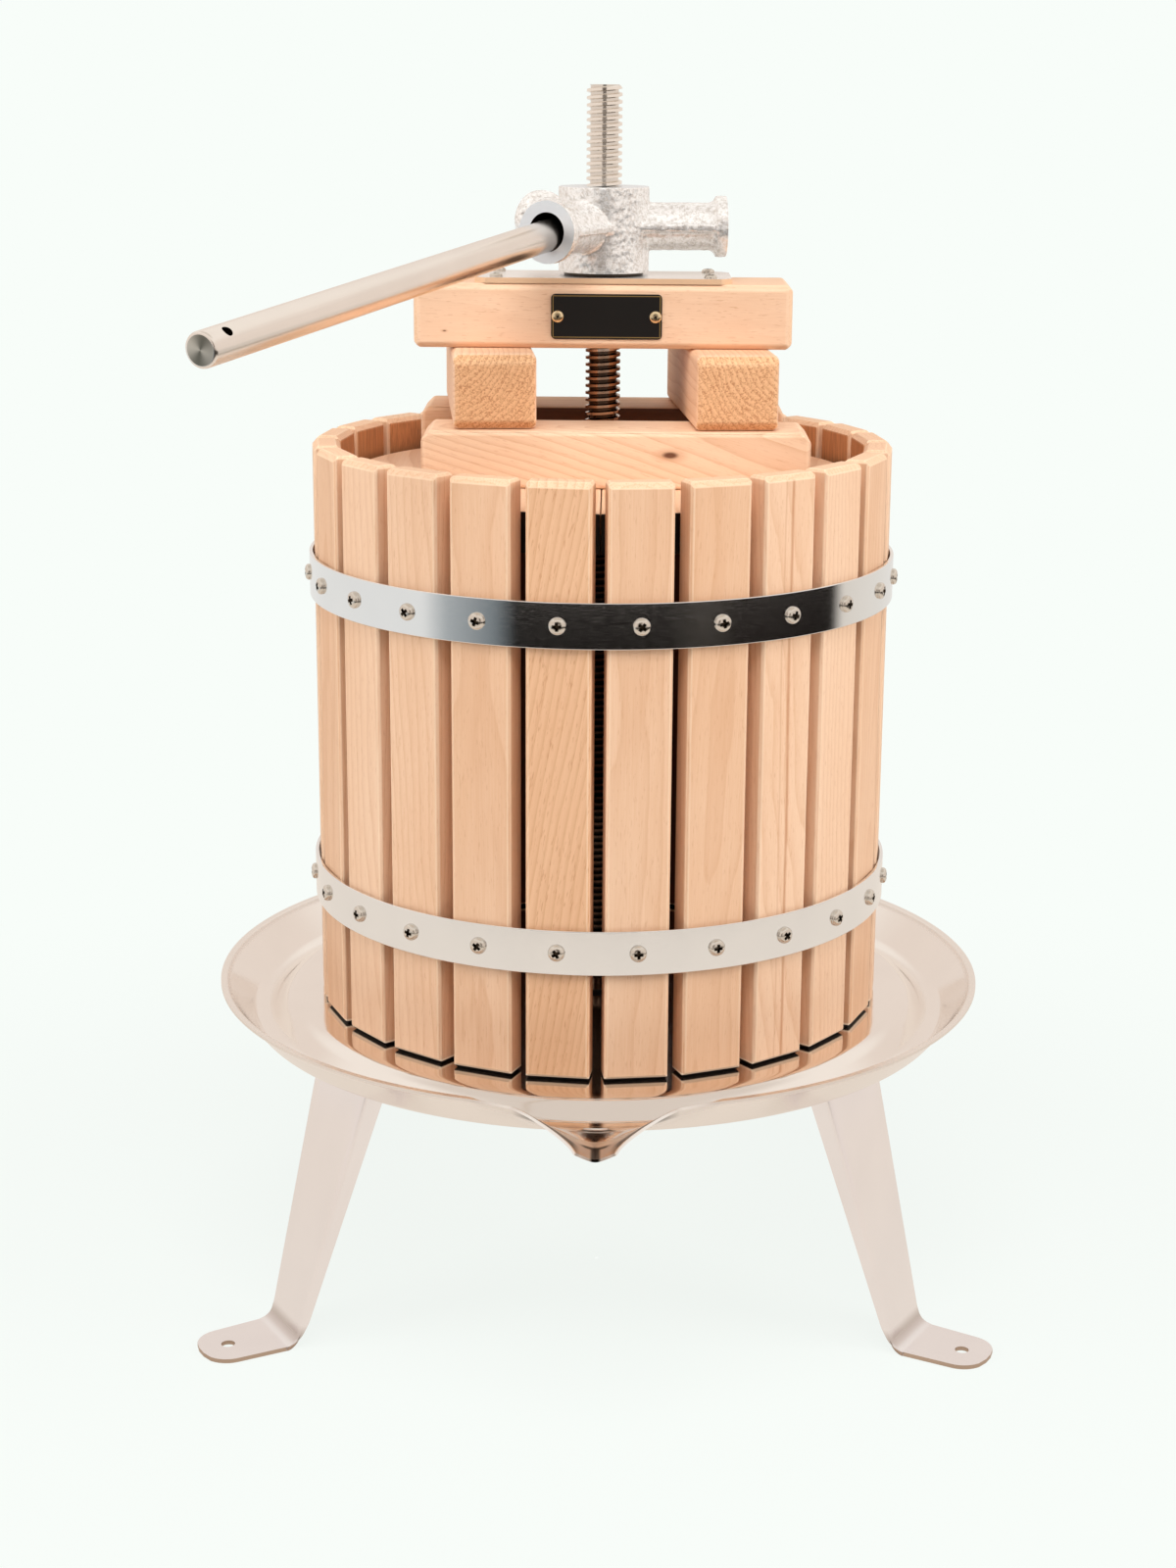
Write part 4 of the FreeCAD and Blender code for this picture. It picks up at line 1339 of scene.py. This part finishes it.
@dataclass
class Spindle:
    """Threaded spindle with a collar over the tray."""

    radius: float = 10.0
    root: float = 7.9
    pitch: float = 4.0
    bottom: float = 152.0
    thread_from: float = 198.0
    top: float = 712.0
    point: float = 1.6
    collar_r: float = 23.0
    collar_low: float = 186.0
    collar_high: float = 194.0
    sides: int = 48

    def thread(self) -> Form:
        """The trapezoidal thread, its ends left open for build() to cut and close."""
        crest, flank = 0.36, 0.16
        profile = [
            (0.0, self.radius),
            (crest, self.radius),
            (crest + flank, self.root),
            (1 - flank, self.root),
        ]
        turns = int((self.top - self.thread_from) / self.pitch) + 3
        start = self.thread_from - self.pitch
        corners, faces = [], []
        steps = turns * self.sides
        count = len(profile)
        for step in range(steps + 1):
            angle = 2 * math.pi * step / self.sides
            for share, radius in profile:
                z = start + self.pitch * (step / self.sides + share)
                limit = self.radius - max(0.0, self.point - (self.top - z))
                r = max(min(radius, limit), 2.0)
                corners.append(Vector((r * math.cos(angle), r * math.sin(angle), z)))
        for step in range(steps):
            here, ahead = step * count, (step + 1) * count
            for i in range(count - 1):
                faces.append((here + i, ahead + i, ahead + i + 1, here + i + 1))
            above = here + self.sides * count
            if above + count < len(corners):
                faces.append((here + count - 1, ahead + count - 1, above + count, above))
        return Form(corners, faces)

    def build(self) -> None:
        """Makes the spindle."""
        work = bmesh.new()
        work.from_mesh(self.thread().mesh("thread"))
        for height, up in ((self.thread_from, -1), (self.top, 1)):
            spot = (0, 0, height * MM)
            whole = work.verts[:] + work.edges[:] + work.faces[:]
            plane = {"plane_co": spot, "plane_no": (0, 0, up)}
            bmesh.ops.bisect_plane(work, geom=whole, clear_outer=True, **plane)
        bmesh.ops.holes_fill(work, edges=work.edges, sides=0)
        thread = bpy.data.meshes.new("thread")
        work.to_mesh(thread)
        work.free()
        edge = 1.5
        shaft = [
            (0.01, self.bottom),
            (self.radius - edge, self.bottom),
            (self.radius, self.bottom + edge),
            (self.radius, self.collar_low),
            (self.collar_r, self.collar_low),
            (self.collar_r, self.collar_high - 3),
            (self.collar_r - 0.9, self.collar_high - 0.9),
            (self.collar_r - 3, self.collar_high),
            (self.radius + 1.2, self.collar_high),
            (self.radius, self.collar_high + 1.2),
            (self.radius, self.thread_from + 0.5),
            (0.01, self.thread_from + 0.5),
        ]
        work = bmesh.new()
        work.from_mesh(thread)
        work.from_mesh(lathed(shaft, 64).mesh("shaft"))
        mesh = bpy.data.meshes.new("spindle")
        bmesh.ops.recalc_face_normals(work, faces=work.faces)
        work.to_mesh(mesh)
        work.free()
        piece("threaded_spindle", mesh, THREAD_STEEL, Body.BASE, "spindle", ["spindle"], 30)


@dataclass
class Basket:
    """Ring of staves, screwed to two hoops."""

    staves: int = 24
    hoop_inner: float = 167.2
    hoop_thick: float = 2.0
    hoop_width: float = 25.0
    hoop_edge: float = 0.5
    hoops: dict[str, float] = field(
        default_factory=lambda: {"lower_hoop": 259.0, "upper_hoop": 439.0}
    )
    screw: float = 9.4
    screw_height: float = 2.8
    arris: float = 0.5

    def azimuth(self, index: int) -> float:
        """Azimuth of a stave, counted from 0."""
        return -90 + (index + 0.5) * 360 / self.staves

    def finish(self, index: int) -> Finish:
        """Finish of a stave, counted from 0."""
        if index == self.staves - 1:
            return FLECKED_BEECH
        if index == 2:
            return STREAKED_BEECH
        return STAVE_BEECH

    def build(self) -> None:
        """Makes the staves, the hoops and their screws."""
        for index in range(self.staves):
            turn = math.radians(self.azimuth(index))
            tangent = Vector((-math.sin(turn), math.cos(turn), 0))
            chance = noise.cell(Vector((index * 1.7, 3.1, 0.4)))
            other = noise.cell(Vector((5.3, index * 2.3, 1.9)))
            pith = (34 * (chance - 0.5), 45 + 80 * other)
            lean = (0.03 * (other - 0.5), 0.05 * (chance - 0.5))
            if self.finish(index) is FLECKED_BEECH:
                pith, lean = (190.0, 30.0), (-0.16, 0.0)
            grain = Grain(AXIS_Z, tangent, pith, lean, chance + 0.37 * index)
            # The inner faces take painted shade.
            inward = Vector((-math.cos(turn), -math.sin(turn), 0))
            name = f"stave_{index + 1:02d}"
            board(name, self.finish(index), Body.BASE, "staves", grain, self.arris, inward)
        head = cross_head(self.screw, self.screw_height, 5.4, SCREW_STEEL)
        for name, z in self.hoops.items():
            self.hoop(name, z)
            outer = self.hoop_inner + self.hoop_thick
            places = []
            for index in range(self.staves):
                twist = 90 * noise.cell(Vector((index * 3.7, z, 0.2)))
                lying = shift(outer, 0, z) @ about("Y", 90) @ about("Z", twist)
                places.append(about("Z", self.azimuth(index)) @ lying)
            screws, node = copies(head, places), name + "_screws"
            piece(name + "_pan_heads", screws, SCREW_STEEL, Body.BASE, "screws", [node], 40)

    def hoop(self, name: str, z: float) -> None:
        """Makes one hoop about a height."""
        inner, outer = self.hoop_inner, self.hoop_inner + self.hoop_thick
        low, high = z - self.hoop_width / 2, z + self.hoop_width / 2
        corners = [(inner, low), (outer, low), (outer, high), (inner, high)]
        edge = self.hoop_edge
        profile = rounded(corners, [0.2, edge, edge, 0.2], 4, closed=True)
        mesh = lathed(profile, 288, closed=True).mesh(name)
        shaded(mesh, 50)
        mesh = worked(mesh, ("WEIGHTED_NORMAL", {"keep_sharp": True}))
        piece(name + "_band", mesh, HOOP_STEEL, Body.BASE, "hoops", [name], None)


@dataclass
class PressStack:
    """Pressing disc, battens, blocks and crossbeam, with the plates on the beam."""

    block_yaw: float = 5.0
    plate_top: float = 607.5
    screw_places: Point = (60.0, 21.0)
    bearing_screw: float = 7.6
    bearing_screw_height: float = 2.2
    name_middle: Point = (2.0, 586.5)
    name_half: Point = (31.0, 12.5)
    name_thick: float = 0.8
    name_corner: float = 2.5
    name_screw: float = 7.0
    name_screw_height: float = 1.6
    name_screw_inset: float = 3.7
    beam_front: float = -30.0
    washer_inner: float = 10.5
    washer_outer: float = 22.5
    washer_thick: float = 2.0

    def build(self) -> None:
        """Makes the stack from the disc up."""
        self.wood()
        self.plates()

    def wood(self) -> None:
        """Makes the wooden pieces."""
        yaw = math.radians(self.block_yaw)
        block_along = Vector((-math.sin(yaw), math.cos(yaw), 0))
        block_across = Vector((math.cos(yaw), math.sin(yaw), 0))
        rows = [
            ("disc_left", BOARD_BEECH, AXIS_Y, AXIS_X, (20, -70), (0.01, 0.0), 0.31, 0.8),
            ("disc_right", BOARD_BEECH, AXIS_Y, AXIS_X, (-30, -66), (0.0, 0.02), 0.72, 0.8),
            ("front_batten", BATTEN_BEECH, AXIS_X, AXIS_Y, (6, -30), (0.02, 0.3), 0.45, 1.2),
            ("rear_batten", SHADED_BEECH, AXIS_X, AXIS_Y, (-12, -48), (0.0, -0.04), 0.83, 1.2),
            ("left_block", BLOCK_BEECH, block_along, block_across, (44, 36), (0.0, 0.0), 0.24, 1.4),
            ("right_block", BLOCK_BEECH, block_along, block_across, (-52, 40), (0, 0), 0.64, 1.4),
            ("crossbeam", BEAM_BEECH, AXIS_X, AXIS_Z, (10, 60), (0.015, 0.03), 0.12, 1.0),
        ]
        for node, finish, along, across, pith, lean, seed, arris in rows:
            grain = Grain(along, across, pith, lean, seed)
            # The rear batten's front face takes painted shadow.
            stained = -AXIS_Y if node == "rear_batten" else None
            board(node, finish, Body.STACK, "press_wood", grain, arris, stained)

    def plates(self) -> None:
        """Makes the screws, the nameplate and the thrust washer."""
        dressed("bearing_plate", PLATE_STEEL)
        head = cross_head(self.bearing_screw, self.bearing_screw_height, 4.2, SCREW_STEEL)
        x, y = self.screw_places
        places = [
            shift(sx * x, sy * y, self.plate_top) @ about("Z", 25 + 40 * sx + 15 * sy)
            for sx in (-1, 1)
            for sy in (-1, 1)
        ]
        screws, node = copies(head, places), "bearing_plate_screws"
        piece("bearing_pan_heads", screws, SCREW_STEEL, Body.STACK, "screws", [node], 40)

        (mx, mz), (hx, hz) = self.name_middle, self.name_half
        corners = [(-hx, -hz), (hx, -hz), (hx, hz), (-hx, hz)]
        flat = rounded(corners, [self.name_corner] * 4, 8, closed=True)
        front = self.beam_front - self.name_thick
        rings = [
            [Vector((mx + px * s, y, mz + pz * s)) for px, pz in flat]
            for y, s in self.name_steps(front)
        ]
        enamel = Enamel("name_enamel", (mx, mz), (hx, hz))
        plate = lofted(rings).mesh("plate")
        piece("bare_nameplate", plate, enamel, Body.STACK, "nameplate", ["nameplate"], 30)

        small = cross_head(self.name_screw, self.name_screw_height, 2.2, BRASS)
        inset = hx - self.name_screw_inset
        places = [
            shift(mx + side * inset, front, mz) @ about("X", 90) @ about("Z", 30 * side)
            for side in (-1, 1)
        ]
        screws, node = copies(small, places), "nameplate_screws"
        piece("name_pan_heads", screws, BRASS, Body.STACK, "brass_screws", [node], 40)
        self.washer()

    def washer(self) -> None:
        """Makes the thrust washer on the bearing plate."""
        inner, outer, edge = self.washer_inner, self.washer_outer, 0.5
        low, high = self.plate_top, self.plate_top + self.washer_thick
        section = [(inner, low), (outer - edge, low), (outer, low + edge)]
        section += [(outer, high - edge), (outer - edge, high), (inner, high)]
        mesh, node = lathed(section, 96, closed=True).mesh("washer"), "thrust_washer"
        # Dark washer: painted shade under the hub.
        piece("bright_washer", mesh, WASHER_SHADE_STEEL, Body.STACK, "plain_steel", [node], 30)

    def name_steps(self, front: float) -> list[Point]:
        """Places along Y and sizes of the nameplate's rings, from the beam to its face."""
        return [(self.beam_front, 1.0), (front + 0.25, 1.0), (front, 0.992)]


@dataclass
class Hub:
    """Cast hub with three flanged sockets, trimmed where it was machined."""

    low: float = 609.5
    high: float = 656.5
    radius: float = 25.5
    sockets: tuple[float, float, float] = (3.5, 123.5, 243.5)
    socket_z: float = 634.5
    reach: float = 69.0
    tube_r: float = 13.25
    flange_r: float = 17.0
    flange_width: float = 6.0
    bore_r: float = 10.65
    bore_floor: float = 29.5
    rib_half: float = 16.5
    rib_thick: float = 4.5
    thread_r: float = 10.05
    grit: float = 0.28

    def along_socket(self, azimuth: float) -> Matrix:
        """Where a form built upwards from the axis lies along a socket."""
        return about("Z", azimuth) @ shift(0, 0, self.socket_z) @ about("Y", 90)

    def rough(self) -> Form:
        """The casting before its edges soften, a little long where it is machined."""
        spare = 1.0
        form = lathed([(self.radius, self.low - spare), (self.radius, self.high + spare)], 96)
        for azimuth in self.sockets:
            place = self.along_socket(azimuth)
            start = self.reach - self.flange_width
            profile = [
                (self.tube_r, 12),
                (self.tube_r, start - 3.0),
                (self.tube_r + 1.6, start - 0.6),
                (self.flange_r, start + 0.4),
                (self.flange_r, self.reach + spare),
            ]
            form += lathed(profile, 64).moved(place)
            rib = slab(self.rib_thick / 2, self.rib_half, 15, start + 1)
            form += rib.moved(place)
        return form

    def build(self) -> None:
        """Makes the hub."""
        mesh = worked(
            self.rough().mesh("casting"),
            ("REMESH", {"mode": "VOXEL", "voxel_size": 0.8 * MM}),
            ("SMOOTH", {"factor": 0.5, "iterations": 7}),
        )
        moved: list[float] = []
        for spot, normal in [(vertex.co.copy(), vertex.normal.copy()) for vertex in mesh.vertices]:
            swell = noise.noise(spot * 0.35 / MM) * 0.7 + noise.noise(spot * 0.8 / MM) * 0.5
            moved.extend(spot + normal * swell * self.grit * MM)
        mesh.vertices.foreach_set("co", moved)
        tools = [
            slab(60, 60, self.low - 20, self.low),
            slab(60, 60, self.high, self.high + 20),
            lathed([(self.thread_r, self.low - 5), (self.thread_r, self.high + 5)], 48),
        ]
        for azimuth in self.sockets:
            place = self.along_socket(azimuth)
            bore = lathed([(self.bore_r, self.bore_floor), (self.bore_r, self.reach + 5)], 48)
            tools.append(slab(40, 40, self.reach, self.reach + 20).moved(place))
            tools.append(bore.moved(place))
        mesh = cut(mesh, *tools)
        painted(mesh, CAST_STEEL, FACED_STEEL, RECESS_SHADE_STEEL)
        for face in mesh.polygons:
            face.material_index = self.machined(face)
        piece("cast_hub", mesh, CAST_STEEL, Body.HUB, "cast_hub", ["hub"], 30)

    def machined(self, face: bpy.types.MeshPolygon) -> int:
        """1 where a face was machined, 2 where it is inside a socket, or 0."""
        spot = face.center / MM
        if min(abs(spot.z - self.low), abs(spot.z - self.high)) < 0.02:
            return 1
        for azimuth in self.sockets:
            turn = math.radians(azimuth)
            out = Vector((math.cos(turn), math.sin(turn), 0))
            side = Vector((-math.sin(turn), math.cos(turn), 0))
            away = spot - Vector((0, 0, self.socket_z))
            off_axis = math.hypot(away.dot(side), away.z)
            if abs(away.dot(out) - self.reach) < 0.02:
                return 1
            if away.dot(out) > self.bore_floor - 0.1 and off_axis < self.bore_r + 0.05:
                return 2
        return 0


@dataclass
class BarHandle:
    """Round bar that lies loose in a socket and droops by its play."""

    radius: float = 8.5
    length: float = 363.0
    bevel: float = 1.5
    play: float = 0.15
    seat: float = 0.6
    hole_r: float = 2.75
    hole_inset: float = 14.0
    hole_turn: float = 49.0
    socket: float = Hub.sockets[2]
    socket_z: float = Hub.socket_z
    bore_r: float = Hub.bore_r
    reach: float = Hub.reach
    bore_floor: float = Hub.bore_floor

    def place(self) -> Matrix:
        """Where the bar lies, for a bar built upwards from its inner end."""
        play = self.bore_r - self.play - self.radius
        droop = math.atan2(2 * play, self.reach - self.bore_floor)
        start = self.bore_floor + self.seat + self.radius * math.sin(droop)
        engaged = self.reach - start
        lean = about("Y", math.degrees(droop)) @ shift(-engaged / 2, 0, 0) @ about("Y", 90)
        return about("Z", self.socket) @ shift(start + engaged / 2, 0, self.socket_z) @ lean

    def build(self) -> None:
        """Makes the bar."""
        r, edge = self.radius, self.bevel
        corners = [(0.01, 0), (r, 0), (r, self.length), (0.01, self.length)]
        profile = rounded(corners, [0, edge, edge, 0], 5)
        mesh = lathed(profile, 96).mesh("bar")
        hole = lathed([(self.hole_r, -2 * r), (self.hole_r, 2 * r)], 40)
        hole_z = self.length - self.hole_inset
        across = shift(0, 0, hole_z) @ about("Z", self.hole_turn) @ about("X", 90)
        mesh = cut(mesh, hole.moved(across))
        painted(mesh, BAR_STEEL, RECESS_SHADE_STEEL, END_STEEL)
        for face in mesh.polygons:
            spot = face.center / MM
            near = math.hypot(spot.x, spot.y) < r - 0.35 and abs(spot.z - hole_z) < 4
            face.material_index = 2 if spot.z > self.length - 0.01 else int(near)
        grain = [part for v in mesh.vertices for part in v.co / MM]
        store(mesh, "grain", grain, kind="FLOAT_VECTOR")
        mesh = copies(mesh, [self.place()])
        piece("bar", mesh, BAR_STEEL, Body.HANDLE, "bar", ["handle"], 35)


@dataclass
class Foundation:
    """What holds the spindle down under the tray, mostly out of sight."""

    steel: tuple[str, ...] = ("base_plate", "base_nut", "base_washer", "leg_bolts")

    def build(self) -> None:
        """Gives these CAD nodes their finishes."""
        for node in self.steel:
            dressed(node, PLAIN_STEEL)
        dressed("spindle_seal", SEAL_RUBBER)


# The studio
@dataclass
class Studio:
    """Camera at the photograph's angle, soft lamps, a pale world and a pale floor."""

    camera_place: tuple[float, float, float] = (6.82, -1504.04, 721.61)
    pitch: float = 14.71
    roll: float = 0.47
    long_side: float = 1600.0
    short_side: float = 1200.0
    focal_pixels: float = 2667.74
    middle_pixel: tuple[float, float] = (624.08, 768.38)
    sensor: float = 36.0
    backdrop: Colour = srgb(248, 253, 249)
    mirrored_table: Colour = srgb(238, 227, 215)
    table_r: float = 1.1

    def build(self) -> None:
        """Sets up the camera, the light and the floor."""
        scene = bpy.context.scene
        scene.view_settings.view_transform = "Standard"
        scene.camera = self.camera()
        self.world(scene)
        self.floor()
        self.lamp("left_softbox", (-2.1, -0.9, 1.2), 1.3, 30.0)
        self.lamp("right_softbox", (2.1, -0.8, 1.2), 1.3, 33.5)
        self.lamp("top_softbox", (0.0, -1.1, 2.3), 1.2, 33.0)

    def camera(self) -> bpy.types.Object:
        """Makes the camera."""
        data = bpy.data.cameras.new("camera")
        data.sensor_width = self.sensor
        data.lens = self.focal_pixels * self.sensor / self.long_side
        data.shift_x = -(self.middle_pixel[0] - self.short_side / 2) / self.long_side
        data.shift_y = (self.middle_pixel[1] - self.long_side / 2) / self.long_side
        data.clip_start, data.clip_end = 0.05, 50.0
        camera = linked("camera", data)
        pitch, roll = math.radians(self.pitch), math.radians(self.roll)
        right = AXIS_X
        up = Vector((0, math.sin(pitch), math.cos(pitch)))
        back = Vector((0, -math.cos(pitch), math.sin(pitch)))
        rolled_right = right * math.cos(roll) + up * math.sin(roll)
        rolled_up = up * math.cos(roll) - right * math.sin(roll)
        turn = Matrix((rolled_right, rolled_up, back)).transposed().to_4x4()
        camera.matrix_world = Matrix.Translation(Vector(self.camera_place) * MM) @ turn
        return camera

    def world(self, scene: bpy.types.Scene) -> None:
        """Makes the pale world, with a darker room in front for what mirrors it."""
        world = bpy.data.worlds.new("studio")
        scene.world = world
        tree = Tree(world)
        x, y, z = tree.split(tree.node("TexCoord", None, None, "Generated"))
        azimuth = tree.node("Math", {"operation": "ARCTAN2"}, {0: x, 1: y * -1.0}) / math.pi
        share = azimuth * 0.5 + 0.5
        stops = [
            (0.0, srgb(236, 234, 230)),
            (0.30, srgb(232, 232, 230)),
            (0.33, srgb(170, 175, 177)),
            (0.385, srgb(120, 128, 132)),
            (0.41, srgb(17, 15, 13)),
            (0.60, srgb(20, 16, 13)),
            (0.66, srgb(26, 21, 18)),
            (0.78, srgb(20, 16, 14)),
            (0.80, srgb(226, 218, 208)),
            (1.0, srgb(236, 234, 230)),
        ]
        belt = tree.node("ValToRGB", {"stops": stops}, {0: share})
        level = z.step(-0.17, -0.11)
        streak = z.bell(-0.203, 0.006) * share.bell(0.61, 0.045)
        belt = tree.mix(streak * 0.5, belt, srgb(190, 180, 165))
        low = z.step(-0.75, -0.6)
        room = tree.mix(low, srgb(240, 236, 230), belt)
        skirt = z.bell(-0.42, 0.16) * azimuth.step(0.45, 0.6)
        room = tree.mix(skirt * 0.85, room, srgb(84, 70, 54))
        ceiling = tree.mix(z.step(0.42, 0.6), srgb(239, 228, 219), srgb(252, 246, 239))
        ceiling = tree.mix(z.step(0.75, 0.9), ceiling, srgb(226, 217, 208))
        room = tree.mix(level, room, ceiling)
        standing = abs(azimuth).step(0.1, 0.06) * z.step(-0.07, -0.04) * z.step(0.42, 0.3)
        room = tree.mix(standing * 0.9, room, srgb(62, 52, 44))
        camera_ray = tree.node("LightPath", None, None, "Is Camera Ray")
        glossy_ray = tree.node("LightPath", None, None, "Is Glossy Ray")
        plain = tree.node("Background", None, {"Color": srgb(255, 253, 250), "Strength": 0.3})
        seen = tree.node("Background", None, {"Color": self.backdrop, "Strength": 1.0})
        mirrored = tree.node("Background", None, {"Color": room, "Strength": 1.0})
        mixed = tree.node("MixShader", None, {0: glossy_ray, 1: plain, 2: mirrored})
        mixed = tree.node("MixShader", None, {0: camera_ray, 1: mixed, 2: seen})
        tree.node("OutputWorld", None, {"Surface": mixed})

    def floor(self) -> None:
        """Makes the pale table, which fades into the backdrop and keeps a faint shadow."""
        rings = [circle(r * self.table_r / MM, 0, 96) for r in (0.001, 0.4, 0.7, 0.9, 1.0)]
        sunk = [[corner - AXIS_Z * 0.2 for corner in ring] for ring in rings]
        mesh = lofted(sunk, capped=False).mesh("table")
        mesh.flip_normals()
        material = bpy.data.materials.new("table")
        tree = Tree(material)
        place = tree.node("TexCoord", None, None, "Object")
        away = tree.node("VectorMath", {"operation": "LENGTH"}, {0: place}, 1)
        edge = away.step(self.table_r * 0.3, self.table_r * 0.75)
        matt = tree.node("BsdfDiffuse", None, {"Color": srgb(226, 228, 226)})
        camera_ray = tree.node("LightPath", None, None, "Is Camera Ray")
        glossy_ray = tree.node("LightPath", None, None, "Is Glossy Ray")
        seen = tree.mix(camera_ray, self.mirrored_table, self.backdrop)
        glow = tree.node("Emission", None, {"Color": seen, "Strength": 1.0})
        share = camera_ray.most(glossy_ray) * (edge * 0.12 + 0.88)
        shader = tree.node("MixShader", None, {0: share, 1: matt, 2: glow})
        tree.node("OutputMaterial", None, {"Surface": shader})
        mesh.materials.append(material)
        linked("table", mesh)

    def lamp(self, name: str, place: tuple[float, float, float], size: float, power: float) -> None:
        """Makes a square area lamp that looks at the press.

        Args:
            name: The lamp's name.
            place: Where it hangs, in metres.
            size: Its side, in metres.
            power: Its power in watts.
        """
        data = bpy.data.lights.new(name, "AREA")
        data.size, data.energy = size, power
        lamp = linked(name, data)
        lamp.location = place
        lamp.visible_glossy = False
        look = Vector((0, 0, 0.35)) - Vector(place)
        lamp.rotation_euler = look.to_track_quat("-Z", "Y").to_euler()


def main() -> None:
    """Dresses the press from the floor up and lights it."""
    logging.basicConfig(level=logging.INFO, format="%(relativeCreated)d %(message)s")
    for kind in (Foundation, Legs, JuiceTray, Spindle, Basket, PressStack, Hub, BarHandle):
        LOG.info("building %s", kind.__name__)
        kind().build()
    Studio().build()


if __name__ == "__main__":
    main()
